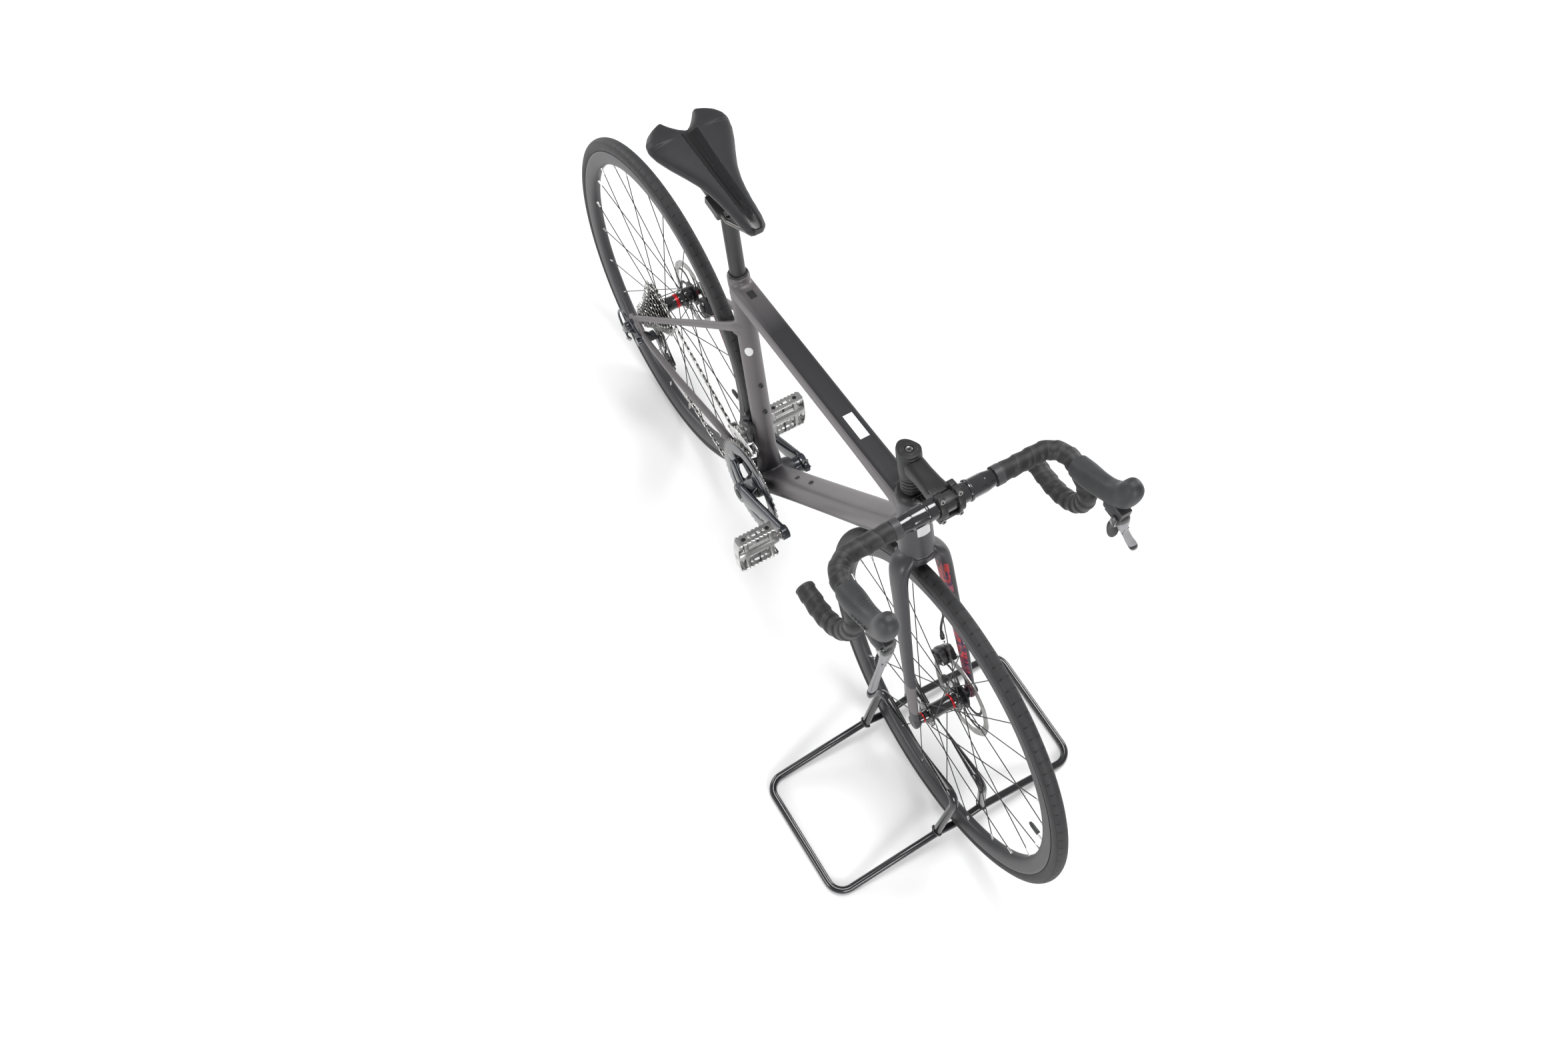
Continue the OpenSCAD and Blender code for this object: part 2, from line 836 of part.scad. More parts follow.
// The stays' lines on the left: point, half height and half width.
chainstay_line = [[-92, 27, 264, 14, 7], [-140, 27, 272, 12, 6.5], [-190, 31, 282, 11.5, 6.5],
    [-260, 44, 297, 10.5, 6.5], [-340, 60, 313, 10, 6.5], [-410, 71, 328, 9, 5.5],
    [-472, 75, 338, 8.7, 3.6]];
seatstay_line = [[-196, 15, 638, 9, 8], [-240, 26, 592, 7.5, 6.5], [-300, 38, 531, 7, 6],
    [-400, 60, 430, 6, 5], [-474, 75, 355, 6, 4]];

module chainstay() {
    difference() {
        union() {
            sweep(spline(chainstay_line, 2), [0, 1, 0], 16);
            translate(rear_hub) along_y(71, 79, 15);
        }
        translate(rear_hub) along_y(60, 90, 6.15);
        shell_shape(0.02);
    }
}

module chainstays() {
    color(paint) {
        chainstay();
        mirror([0, 1, 0]) chainstay();
    }
}

module seatstay() {
    difference() {
        sweep(spline(seatstay_line, 2), [0, 1, 0], 16);
        translate(rear_hub) along_y(60, 90, 15.02);
        seat_shape(0.02);
    }
}

module seatstays() {
    color(paint) {
        seatstay();
        mirror([0, 1, 0]) seatstay();
    }
}

module headset_bearings() {
    color(steel)
        steering() {
            difference() {
                translate([0, 0, crown_top + 0.4]) cylinder(r = 26, h = 11.5);
                translate([0, 0, crown_top]) cylinder(r = 19.85, h = 20);
            }
            difference() {
                translate([0, 0, head_high - 9]) cylinder(r = 21.4, h = 8.8);
                translate([0, 0, head_high - 12]) cylinder(r = steerer_r + 0.05, h = 20);
            }
        }
}

module bottom_bracket() {
    color(black)
        translate(crank_centre)
            for (m = [-1, 1])
                difference() {
                    union() {
                        along_y(m * 33, m * 43.05, 20);
                        along_y(m * 43.05, m * 45, 21.5);
                    }
                    along_y(-60, 60, 12.05);
                }
}

module bottle_bolts() {
    color(black) {
        for (s = [190, 254])
            translate(crank_centre + s * seat_dir)
                rotate([0, seat_angle, 0]) {
                    translate([0, 0, seat_tube_r - 2.4]) cylinder(r = 2.45, h = 3);
                    difference() {
                        translate([0, 0, seat_tube_r + 0.1]) cylinder(r = 4.6, h = 2.6);
                        translate([0, 0, seat_tube_r + 1.2]) cylinder(r = 2, h = 4, $fn = 6);
                    }
                }
        for (s = [150, 214])
            translate(crank_centre)
                rotate([0, atan2(down_head[0] - crank_centre[0], down_head[2] - crank_centre[2]), 0])
                    translate([-20, 0, s])
                        rotate([0, -90, 0]) {
                            translate([0, 0, -6]) cylinder(r = 2.45, h = 6.2);
                            difference() {
                                translate([0, 0, 0.1]) cylinder(r = 4.6, h = 2.6);
                                translate([0, 0, 1.2]) cylinder(r = 2, h = 4, $fn = 6);
                            }
                        }
    }
}

module rear_caliper() {
    color(black)
        translate([-420, 55, 370])
            rotate([0, 58, 0])
                caliper();
}

module rear_brake_hose() {
    color(black)
        cord([[-393.5, 66, 359.5], [-379, 68, 348], [-356, 62, 336], [-300, 50, 322], [-240, 38, 308],
            [-180, 29, 299], [-150, 27, 290]], 2.4, [0, 1, 0.2]);
}

module rear_axle() {
    color(black)
        translate(rear_hub)
            difference() {
                union() {
                    along_y(-82, 80, 6);
                    along_y(79.1, 82, 9.5);
                }
                along_y(80, 84, 3, $fn = 6);
                along_y(-83, -70, 3, $fn = 6);
            }
}

// ---- Drive train ----

module cassette() {
    color(steel)
        translate(rear_hub)
            difference() {
                union() {
                    for (i = [0:10])
                        along_y(sprocket_first_y + i * sprocket_step - 0.8,
                            sprocket_first_y + i * sprocket_step + 0.8,
                            sprocket_teeth[i] * pitch / 360 * 180 / PI - 4.6);
                    along_y(-60.5, -18, 17.3);
                }
                along_y(-70, 0, 8.65);
            }
}

function turn_points(c, r, from, to, n, y) =
    [for (i = [0:n]) let (a = from + (to - from) * i / n) [c[0] + r * cos(a), y, c[2] + r * sin(a)]];

// Straight run between two wheels of the chain: its heading, from the side each wheel is on.
function heading(c1, r1, s1, c2, r2, s2) =
    atan2(c2[2] - c1[2], c2[0] - c1[0])
        + asin((s2 * r2 - s1 * r1) / norm([c2[0] - c1[0], c2[2] - c1[2]]));

run_top = heading(rear_hub, chain_sprocket_r, 1, crank_centre, ring_small_r, 1);
run_low = heading(crank_centre, ring_small_r, 1, tension_at, pulley_pitch_r, 1);
run_cage = heading(tension_at, pulley_pitch_r, 1, guide_at, pulley_pitch_r, -1);
run_rise = heading(guide_at, pulley_pitch_r, -1, rear_hub, chain_sprocket_r, 1);
function below(a, b) = a > b ? below(a - 360, b) : (a <= b - 360 ? below(a + 360, b) : a);
function above(a, b) = a < b ? above(a + 360, b) : (a >= b + 360 ? above(a - 360, b) : a);
chain_path = concat(
    turn_points(crank_centre, ring_small_r, run_top + 90, below(run_low + 90, run_top + 90), 14,
        ring_small_y),
    turn_points(tension_at, pulley_pitch_r, run_low + 90, below(run_cage + 90, run_low + 90), 9,
        chain_y),
    turn_points(guide_at, pulley_pitch_r, run_cage - 90, above(run_rise - 90, run_cage - 90), 9,
        chain_y),
    turn_points(rear_hub, chain_sprocket_r, run_rise + 90, below(run_top + 90, run_rise + 90), 12,
        chain_y));

module chain() {
    n = len(chain_path);
    rings = [for (i = [0:n - 1])
        let (v = unit(chain_path[(i + 1) % n] - chain_path[(i + n - 1) % n]),
            w = unit([-v[2], 0, v[0]]))
        for (c = [[-1, -1], [1, -1], [1, 1], [-1, 1]])
            chain_path[i] + c[0] * 4.1 * w + [0, c[1] * 2.4, 0]];
    skin = [for (i = [0:n - 1])
        for (k = [0:3])
            [i * 4 + k, i * 4 + (k + 1) % 4, ((i + 1) % n) * 4 + (k + 1) % 4, ((i + 1) % n) * 4 + k]];
    color(steel) polyhedron(points = rings, faces = skin, convexity = 8);
}

module arm_outline(hub_r, end_r) {
    circle(r = hub_r);
    translate([crank_length, 0]) circle(r = end_r);
    polygon([[0, hub_r], [crank_length, end_r], [crank_length, -end_r], [0, -hub_r]]);
}

// Places its children flat in the crank's plane, from y0 outward to the right.
module crank_plane(y0, turn = 0) {
    translate(crank_centre + [0, y0, 0])
        rotate([90, 0, 0])
            rotate([0, 0, crank_angle + turn])
                children();
}

module crank_right() {
    color(paint_dark)
        difference() {
            union() {
                crank_plane(-58) linear_extrude(height = 15) arm_outline(19, 12);
                crank_plane(-50) cylinder(r = 24, h = 9);
                for (i = [0:3])
                    crank_plane(-46.1, 40 + 90 * i)
                        linear_extrude(height = 12) {
                            translate([10, -8]) square([45, 16]);
                            translate([55, 0]) circle(r = 8);
                        }
                translate(crank_centre) along_y(-52, 57.5, 12);
            }
            crank_plane(-40) translate([crank_length, 0, 0]) cylinder(r = 7.1, h = 50);
            for (i = [0:3])
                crank_plane(-30, 40 + 90 * i) translate([55, 0, 0]) cylinder(r = 4.1, h = 30);
            translate(crank_centre) along_y(-80, 70, 9);
        }
}

module crank_left() {
    color(paint_dark)
        difference() {
            union() {
                crank_plane(73, 180) linear_extrude(height = 15) arm_outline(17, 12);
                translate(crank_centre) along_y(46, 60, 15.5);
                crank_plane(72, 180) translate([-24, -10, 0]) cube([16, 20, 13]);
            }
            translate(crank_centre) along_y(40, 57.7, 12.05);
            translate(crank_centre) along_y(57, 80, 8);
            crank_plane(90, 180) translate([crank_length, 0, 0]) cylinder(r = 7.1, h = 50);
            crank_plane(80, 180) translate([-30, -0.8, 0]) cube([25, 1.6, 40]);
        }
}

module chainring_large() {
    color(paint_dark)
        crank_plane(ring_large_y + 1)
            linear_extrude(height = 2)
                difference() {
                    circle(r = ring_large_r + 1);
                    difference() {
                        circle(r = 62);
                        for (i = [0:3])
                            rotate(40 + 90 * i) translate([46, -9]) square([20, 18]);
                    }
                    for (i = [0:3])
                        rotate(40 + 90 * i) translate([55, 0]) circle(r = 4.1);
                }
}

module chainring_small() {
    color(black) {
        crank_plane(ring_small_y + 1)
            linear_extrude(height = 2)
                difference() {
                    circle(r = ring_small_r - 4.6);
                    circle(r = 47);
                    for (i = [0:3])
                        rotate(40 + 90 * i) translate([55, 0]) circle(r = 4.1);
                }
        for (i = [0:3])
            crank_plane(ring_small_y + 2, 40 + 90 * i)
                translate([55, 0, 0])
                    difference() {
                        union() {
                            cylinder(r = 5.5, h = 0.95);
                            cylinder(r = 4, h = 18);
                            translate([0, 0, 3.1]) cylinder(r = 6, h = 4.8);
                        }
                        translate([0, 0, 15]) cylinder(r = 2.5, h = 4, $fn = 6);
                    }
    }
}

module pedal_axles() {
    color(steel) {
        translate(pedal_right_at) {
            along_y(-72, -60, 7);
            along_y(-76, -73.1, 9);
            along_y(-160, -72, 5);
        }
        translate(pedal_left_at) {
            along_y(60, 72, 7);
            along_y(73.1, 76, 9);
            along_y(72, 160, 5);
        }
    }
}

// A cage pedal about its axle, drawn from y = 80 outward to the left.
module pedal() {
    rotate([0, -pedal_tilt, 0])
        difference() {
            union() {
                along_y(80, 164, 11);
                for (y = [92, 142])
                    translate([-34, y, -9]) cube([68, 7, 18]);
                for (x = [-37, 34])
                    translate([x, 84, -12]) cube([3, 78, 24]);
                translate([-12, 160, -11]) cube([24, 3, 22]);
            }
            along_y(70, 160.5, 5.05);
            for (x = [-38, 33])
                for (y = [104, 122])
                    translate([x, y, -5]) cube([5, 14, 10]);
        }
}

module pedal_left() {
    color(alloy) translate(pedal_left_at) pedal();
}

module pedal_right() {
    color(alloy) translate(pedal_right_at) mirror([0, 1, 0]) pedal();
}

module front_derailleur() {
    color(steel)
        difference() {
            union() {
                translate([-150, -34, 388]) cube([34, 18, 32]);
                for (y = [-30, -41])
                    translate([0, y, 0])
                        rotate([90, 0, 0])
                            linear_extrude(height = 1.4)
                                polygon([[-176, 362], [-168, 350], [-150, 352], [-128, 371],
                                    [-100, 378], [-86, 379], [-88, 392], [-120, 394],
                                    [-150, 384], [-170, 372]]);
                translate([-116, -42.4, 386]) cube([12, 12.4, 8]);
                translate([-175, -42.4, 358]) cube([4, 12.4, 6]);
            }
            seat_shape(0.05);
        }
}

module rear_derailleur() {
    body_end = guide_at + [-6, -40, 8];
    knuckle = rear_hub + [-26, -74, -58];
    color(paint_dark)
        difference() {
            union() {
                translate(rear_hub + [-12, 0, -28]) along_y(-90, -72, 9);
                translate(rear_hub + [-18, -79, -32]) cube([12, 7, 20]);
                hull() {
                    translate(rear_hub + [-12, -86, -28]) sphere(r = 9, $fn = 28);
                    translate(knuckle) sphere(r = 9, $fn = 28);
                }
                hull() {
                    translate(knuckle) sphere(r = 9, $fn = 28);
                    translate(body_end) sphere(r = 8, $fn = 28);
                }
                for (y = [chain_y - 7.5, chain_y + 6])
                    translate([0, y, 0])
                        hull() {
                            translate([guide_at[0], 0, guide_at[2]]) along_y(0, 1.5, 9, $fn = 32);
                            translate([tension_at[0], 0, tension_at[2]]) along_y(0, 1.5, 9, $fn = 32);
                        }
                translate([body_end[0], 0, body_end[2]]) along_y(-36, chain_y - 7.3, 5);
                for (at = [guide_at, tension_at])
                    translate([at[0], chain_y, at[2]]) along_y(-7, 7, 2.5);
            }
            translate(rear_hub) along_y(-95, -60, 15.1);
        }
}

module pulley(at) {
    translate([at[0], chain_y, at[2]])
        difference() {
            union() {
                along_y(-1.2, 1.2, pulley_pitch_r - 4.6);
                along_y(-4, 4, 8);
            }
            along_y(-10, 10, 2.55);
        }
}

module guide_pulley() {
    color(black) pulley(guide_at);
}

module tension_pulley() {
    color(black) pulley(tension_at);
}

// ---- Saddle ----

module seatpost() {
    color(black)
        difference() {
            union() {
                translate(crank_centre + post_bottom * seat_dir)
                    rotate([0, -(90 - seat_angle), 0])
                        cylinder(r = post_r, h = saddle_reach - post_bottom - 12);
                translate(saddle_at + [0, 0, -4]) along_y(-17, 17, 12);
            }
            translate(crank_centre + (post_bottom - 1) * seat_dir)
                rotate([0, -(90 - seat_angle), 0]) cylinder(r = post_r - 2.6, h = 200);
            translate(saddle_at + [0, 0, -4]) along_y(-20, 20, 3.1);
        }
}

// One rail about the clamp: straight in the middle, rising at both ends.
module rail(m) {
    rod([-62, m * 21, 0], [36, m * 21, 0], rail_r);
    rod([-62, m * 21, 0], [-114, m * 21, 13], rail_r);
    rod([36, m * 21, 0], [88, m * 9, 21], rail_r);
    translate([-62, m * 21, 0]) sphere(r = rail_r + 0.12);
    translate([36, m * 21, 0]) sphere(r = rail_r + 0.12);
}

module saddle_rails() {
    color(steel)
        translate([saddle_at[0], 0, rail_z])
            difference() {
                for (m = [-1, 1])
                    rail(m);
                translate([60, -30, 19.9]) cube([60, 60, 30]);
                translate([-140, -40, 11]) cube([44, 80, 30]);
            }
}

module saddle_clamp() {
    color(black) {
        difference() {
            union() {
                translate([saddle_at[0] - 20, -29, rail_z - 9]) cube([40, 58, 14]);
                translate(saddle_at + [0, 0, -4]) along_y(17.2, 21, 12);
                translate(saddle_at + [0, 0, -4]) along_y(-21, -17.2, 12);
            }
            for (m = [-1, 1])
                rod([saddle_at[0] - 40, m * 21, rail_z], [saddle_at[0] + 40, m * 21, rail_z],
                    rail_r + 0.05);
            translate(saddle_at + [0, 0, -4]) along_y(-17.1, 17.1, 12.4);
        }
        translate(saddle_at + [0, 0, -4]) along_y(-20, 20, 3);
    }
}

// Outline of the saddle from above, nose forward, grown by a margin.
module saddle_outline(grow) {
    polygon([[90 + grow, -16 - grow], [97 + grow, -8], [97 + grow, 8], [90 + grow, 16 + grow],
        [60, 21 + grow], [20, 25 + grow], [-30, 37 + grow], [-70, 56 + grow], [-105, 71 + grow],
        [-128, 73 + grow], [-146 - grow, 62 + grow], [-157 - grow, 44 + grow],
        [-159 - grow, 28 + grow / 3], [-150 - grow, 14], [-136 - grow, 8], [-132 - grow, 0],
        [-136 - grow, -8], [-150 - grow, -14], [-159 - grow, -28 - grow / 3],
        [-157 - grow, -44 - grow], [-146 - grow, -62 - grow], [-128, -73 - grow],
        [-105, -71 - grow], [-70, -56 - grow], [-30, -37 - grow], [20, -25 - grow],
        [60, -21 - grow]]);
}

module saddle_shell() {
    color(black)
        translate([saddle_at[0], 0, rail_z]) {
            translate([0, 0, 20]) linear_extrude(height = 3.9) saddle_outline(-4);
            for (m = [-1, 1])
                translate([-120, m * 21 - 8, 11.1]) cube([24, 16, 9]);
        }
}

module saddle_pad() {
    color(rubber)
        difference() {
            union() {
                translate([saddle_at[0], 0, rail_z + 24]) linear_extrude(height = 9) saddle_outline(0);
                translate([saddle_at[0], 0, rail_z + 33]) linear_extrude(height = 6) saddle_outline(-4);
                translate([saddle_at[0], 0, rail_z + 39]) linear_extrude(height = 4) saddle_outline(-10);
            }
            hull() {
                translate([saddle_at[0] - 120, 0, rail_z + 46]) sphere(r = 12, $fn = 32);
                translate([saddle_at[0] + 40, 0, rail_z + 46]) sphere(r = 9, $fn = 32);
            }
        }
}

stand_base();
stand_hoops();
fork();
headset_spacers();
stem();
stem_face_plate();
stem_bolts();
top_cap();
handlebar();
bar_tape();
lever_bodies();
lever_hoods();
brake_lever_left();
brake_lever_right();
shift_lever_left();
shift_lever_right();
control_cables();
front_brake_hose();
front_caliper();
front_axle();
front_tyre();
front_rim();
front_spokes();
front_hub_body();
front_rotor();
head_tube();
top_tube();
down_tube();
seat_tube();
chainstays();
seatstays();
headset_bearings();
bottom_bracket();
bottle_bolts();
rear_caliper();
rear_brake_hose();
rear_axle();
rear_tyre();
rear_rim();
rear_spokes();
rear_hub_body();
rear_rotor();
cassette();
chain();
crank_right();
crank_left();
chainring_large();
chainring_small();
pedal_axles();
pedal_right();
pedal_left();
front_derailleur();
rear_derailleur();
guide_pulley();
tension_pulley();
seatpost();
saddle_clamp();
saddle_rails();
saddle_shell();
saddle_pad();
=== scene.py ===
"""Looks for the bicycle on its stand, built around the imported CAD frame.

Shapes are worked out in millimetres in the frame's own axes (+X front, +Y left, +Z up) and
written in metres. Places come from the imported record's joints.
"""

import json
from math import asin, atan2, cos, degrees, hypot, pi, radians, sin, sqrt

import bmesh
import bpy
from mathutils import Matrix, Vector
from mathutils.geometry import delaunay_2d_cdt


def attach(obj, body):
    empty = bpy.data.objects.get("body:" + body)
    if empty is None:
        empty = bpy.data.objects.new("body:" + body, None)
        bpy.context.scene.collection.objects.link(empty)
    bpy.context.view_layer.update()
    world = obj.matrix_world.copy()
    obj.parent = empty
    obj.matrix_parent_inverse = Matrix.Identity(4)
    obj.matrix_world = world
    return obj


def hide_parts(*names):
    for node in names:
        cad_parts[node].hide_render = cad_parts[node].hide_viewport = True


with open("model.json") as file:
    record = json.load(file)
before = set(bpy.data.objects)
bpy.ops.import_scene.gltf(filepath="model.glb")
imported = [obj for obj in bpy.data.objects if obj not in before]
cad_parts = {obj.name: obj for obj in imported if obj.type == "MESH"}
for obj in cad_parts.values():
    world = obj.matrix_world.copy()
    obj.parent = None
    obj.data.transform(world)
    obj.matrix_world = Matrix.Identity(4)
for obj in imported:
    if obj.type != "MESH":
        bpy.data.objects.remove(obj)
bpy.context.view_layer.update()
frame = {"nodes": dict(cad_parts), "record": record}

MM = 0.001
joints = {j["name"]: j for j in frame["record"]["behaviour"]["joints"]}


def joint_at(name):
    return Vector(joints[name]["pos_m"]) * 1000


ORIGIN = Vector((0, 0, 0))
AHEAD = Vector((1, 0, 0))
LEFT = Vector((0, 1, 0))
UP = Vector((0, 0, 1))
FRONT_HUB = joint_at("front_wheel_spin")
REAR_HUB = joint_at("rear_wheel_spin")
CRANK = joint_at("crank_spin")
PEDAL_R = joint_at("pedal_right_spin")
PEDAL_L = joint_at("pedal_left_spin")
GUIDE = joint_at("guide_pulley_spin")
TENSION = joint_at("tension_pulley_spin")
STEER = joint_at("steering")
STEER_UP = Vector(joints["steering"]["axis"]).normalized()
STEER_FWD = Vector((STEER_UP.z, 0, -STEER_UP.x))
SEAT_UP = Vector(joints["seat_height"]["axis"]).normalized()
SADDLE = joint_at("saddle_tilt") + Vector((0, 0, 4))
BAR_UP = 557
BAR = STEER + STEER_FWD * 93 + STEER_UP * BAR_UP
FIRST_COG_Y, COG_PITCH = -56.5, 3.74
CHAIN_Y = FIRST_COG_Y + 9 * COG_PITCH


def steer(x, y, z):
    """A point given along the steering frame: forward of the axis, left, up the axis."""
    return STEER + STEER_FWD * x + Vector((0, y, 0)) + STEER_UP * z


# ---------------------------------------------------------------- shapes


class Shape:
    """Collects faces in millimetres, with a material number and UVs for each face."""

    def __init__(self):
        self.verts, self.faces, self.mats, self.uvs = [], [], [], []

    def add(self, verts, faces, mat=0, uvs=None):
        """Adds faces over verts. mat is one number, or a list with one for each face."""
        base = len(self.verts)
        self.verts += [Vector(v) for v in verts]
        self.faces += [[base + i for i in f] for f in faces]
        self.mats += mat if isinstance(mat, list) else [mat] * len(faces)
        self.uvs += uvs or [[(0.0, 0.0)] * len(f) for f in faces]
        return self

    def rings(self, rings, mat=0, closed=False, pick=None):
        """Joins rings of the same length with quads. pick(i) may choose another material."""
        m, n = len(rings), len(rings[0])
        faces, mats, uvs = [], [], []
        for i in range(m if closed else m - 1):
            j = (i + 1) % m
            for k in range(n):
                l = (k + 1) % n
                faces.append([i * n + k, j * n + k, j * n + l, i * n + l])
                mats.append(pick(i) if pick else mat)
                uvs.append([(i / m, k / n), ((i + 1) / m, k / n), ((i + 1) / m, (k + 1) / n),
                            (i / m, (k + 1) / n)])
        if not closed:
            faces += [list(range(n)), [(m - 1) * n + k for k in reversed(range(n))]]
            mats += [mat, mat]
            uvs += [[(0, 0)] * n] * 2
        return self.add([p for r in rings for p in r], faces, mats, uvs)

    def sweep(self, points, sizes, side=None, n=20, power=2.0, mat=0, closed=False, pick=None,
              radius=None):
        """An oval bar along points. sizes holds (across, along) halves; side is the along direction."""
        pts = [Vector(p) for p in points]
        m = len(pts)
        if isinstance(sizes, (int, float)):
            sizes = (sizes, sizes)
        if isinstance(sizes[0], (int, float)):
            sizes = [sizes] * m
        rings = []
        w = None
        travelled = 0.0
        for i, p in enumerate(pts):
            a = pts[(i - 1) % m] if closed else pts[max(i - 1, 0)]
            b = pts[(i + 1) % m] if closed else pts[min(i + 1, m - 1)]
            d = (b - a).normalized()
            if side is not None:
                u = d.cross(Vector(side)).normalized()
            elif w is None:
                u = d.cross(UP if abs(d.z) < 0.9 else AHEAD).normalized()
            else:
                u = w.cross(d).normalized()
            w = d.cross(u)
            if i:
                travelled += (p - pts[i - 1]).length
            ring = []
            for t in turns(n):
                x, y = (abs(q) ** (2.0 / power) * (1 if q >= 0 else -1) for q in (cos(t), sin(t)))
                f = radius(travelled, t) if radius else 1.0
                ring.append(p + u * (x * sizes[i][0]) * f + w * (y * sizes[i][1]) * f)
            rings.append(ring)
        return self.rings(rings, mat, closed, pick)

    def loft(self, rows, steps, place, **how):
        """A sweep through smoothed rows of (x, y, z, half across, half along)."""
        rows = spline(rows, steps)
        return self.sweep([place(*r[:3]) for r in rows], [r[3:] for r in rows], **how)

    def lathe(self, profile, centre, n=64, mat=0, axis=(0, 1, 0), solid=True):
        """Turns (place along axis, radius) points about an axis. solid joins the last to the first."""
        a = Vector(axis).normalized()
        u = a.cross(AHEAD if abs(a.x) < 0.9 else UP).normalized()
        v = a.cross(u)
        c, m = Vector(centre), len(profile)
        verts, faces, uvs = [], [], []
        for i, t in enumerate(turns(n)):
            out = u * cos(t) + v * sin(t)
            verts += [c + a * y + out * r for y, r in profile]
            j = (i + 1) % n
            for k in range(m if solid else m - 1):
                l = (k + 1) % m
                faces.append([i * m + k, i * m + l, j * m + l, j * m + k])
                uvs.append([(i / n, k / m), (i / n, (k + 1) / m), ((i + 1) / n, (k + 1) / m),
                            ((i + 1) / n, k / m)])
        return self.add(verts, faces, mat, uvs)

    def turned(self, profile, centre, n=32, mat=0, axis=(0, 1, 0), core=0.1):
        """A lathe whose two ends run in to the axis."""
        ends = [(profile[0][0], core)], [(profile[-1][0], core)]
        return self.lathe(ends[0] + profile + ends[1], centre, n, mat, axis, solid=False)

    def plate(self, outline, place, thick, mat=0, holes=()):
        """A flat plate: outline of (x, y) points, place(x, y, z) to space, z from 0 to thick."""
        loops = [outline] + [list(h) for h in holes]
        if holes:
            flat, edges = [], []
            for lp in loops:
                start = len(flat)
                flat += [Vector((x, y)) for x, y in lp]
                edges += [(start + i, start + (i + 1) % len(lp)) for i in range(len(lp))]
            points, _, tris, _, _, _ = delaunay_2d_cdt(flat, edges, [], 0, 1e-5)
            pts = [(p.x, p.y) for p in points]
            keep = []
            for t in tris:
                cx = sum(pts[i][0] for i in t) / len(t)
                cy = sum(pts[i][1] for i in t) / len(t)
                if inside(cx, cy, outline) and not any(inside(cx, cy, h) for h in holes):
                    keep.append(list(t))
        else:
            pts = outline
            keep = [list(range(len(outline)))]
        n = len(pts)
        verts = [place(x, y, z) for z in (0.0, thick) for x, y in pts]
        faces = [list(reversed(t)) for t in keep] + [[i + n for i in t] for t in keep]
        for lp in loops:
            ids = [nearest(p, pts) for p in lp] if holes else list(range(len(lp)))
            faces += [[a, b, b + n, a + n] for a, b in zip(ids, ids[1:] + ids[:1])]
        return self.add(verts, faces, mat)

    def rod(self, p, q, r, n=16, mat=0):
        span = Vector(q) - Vector(p)
        return self.turned([(0, r), (span.length, r)], p, n, mat, span, core=0.001)

    def ball(self, c, r, n):
        half = n // 2
        prof = [(-r * cos(pi * k / half), max(r * sin(pi * k / half), 0.001)) for k in range(half + 1)]
        return self.lathe(prof, c, n, axis=UP, solid=False)

    def block(self, centre, size, mat=0, axes=(AHEAD, LEFT, UP)):
        verts = []
        for i in range(8):
            signs = (i // 4, i // 2 % 2, i % 2)
            verts.append(sum((a * ((s - 0.5) * w) for a, s, w in zip(axes, signs, size)), Vector(centre)))
        faces = [[0, 1, 3, 2], [4, 6, 7, 5], [0, 4, 5, 1], [2, 3, 7, 6], [0, 2, 6, 4], [1, 5, 7, 3]]
        return self.add(verts, faces, mat)

    def join(self, other):
        return self.add(other.verts, other.faces, other.mats, other.uvs)

    def flipped(self):
        """The same shape on the other side of the bicycle only."""
        other = Shape()
        other.verts = [Vector((v.x, -v.y, v.z)) for v in self.verts]
        other.faces = [list(reversed(f)) for f in self.faces]
        other.mats = list(self.mats)
        other.uvs = [list(reversed(u)) for u in self.uvs]
        return other

    def piece(self, name, body, mats, slot, replaces=(), bevel=0.0, sharp=38, remesh=0.0, relax=0,
              segments=2):
        """Makes the Blender object: metres, materials, modifiers, body and replaced nodes."""
        me = bpy.data.meshes.new(name)
        me.from_pydata([v * MM for v in self.verts], [], self.faces)
        for m in mats if isinstance(mats, list) else [mats]:
            me.materials.append(m)
        me.polygons.foreach_set("material_index", self.mats)
        layer = me.uv_layers.new(name="UVMap")
        layer.data.foreach_set("uv", [number for face in self.uvs for pair in face for number in pair])
        me.validate()
        me.update()
        ob = bpy.data.objects.new(name, me)
        bpy.context.scene.collection.objects.link(ob)
        fix_normals(me)
        if remesh:
            modify(ob, "REMESH", mode="VOXEL", voxel_size=remesh * MM, use_smooth_shade=True)
            modify(ob, "SMOOTH", factor=0.5, iterations=relax)
        if bevel:
            modify(ob, "BEVEL", width=bevel * MM, segments=segments, limit_method="ANGLE",
                   angle_limit=radians(38), harden_normals=False)
        bake(ob)
        ob.data.shade_smooth()
        ob.data.set_sharp_from_angle(angle=radians(sharp))
        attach(ob, body)
        if replaces:
            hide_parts(*([replaces] if isinstance(replaces, str) else replaces))
        return ob


def modify(ob, kind, **settings):
    mod = ob.modifiers.new(kind.lower(), kind)
    for name, value in settings.items():
        setattr(mod, name, value)


def bake(ob):
    """Applies the object's modifiers to its mesh."""
    if not ob.modifiers:
        return
    dg = bpy.context.evaluated_depsgraph_get()
    dg.update()
    me = bpy.data.meshes.new_from_object(ob.evaluated_get(dg), depsgraph=dg)
    old = ob.data
    ob.modifiers.clear()
    ob.data = me
    me.name = old.name
    bpy.data.meshes.remove(old)


def fix_normals(me):
    bm = bmesh.new()
    bm.from_mesh(me)
    bmesh.ops.recalc_face_normals(bm, faces=bm.faces)
    bm.to_mesh(me)
    bm.free()


def inside(x, y, loop):
    hit = False
    for (x1, y1), (x2, y2) in zip(loop, loop[1:] + loop[:1]):
        if (y1 > y) != (y2 > y) and x < (x2 - x1) * (y - y1) / (y2 - y1) + x1:
            hit = not hit
    return hit


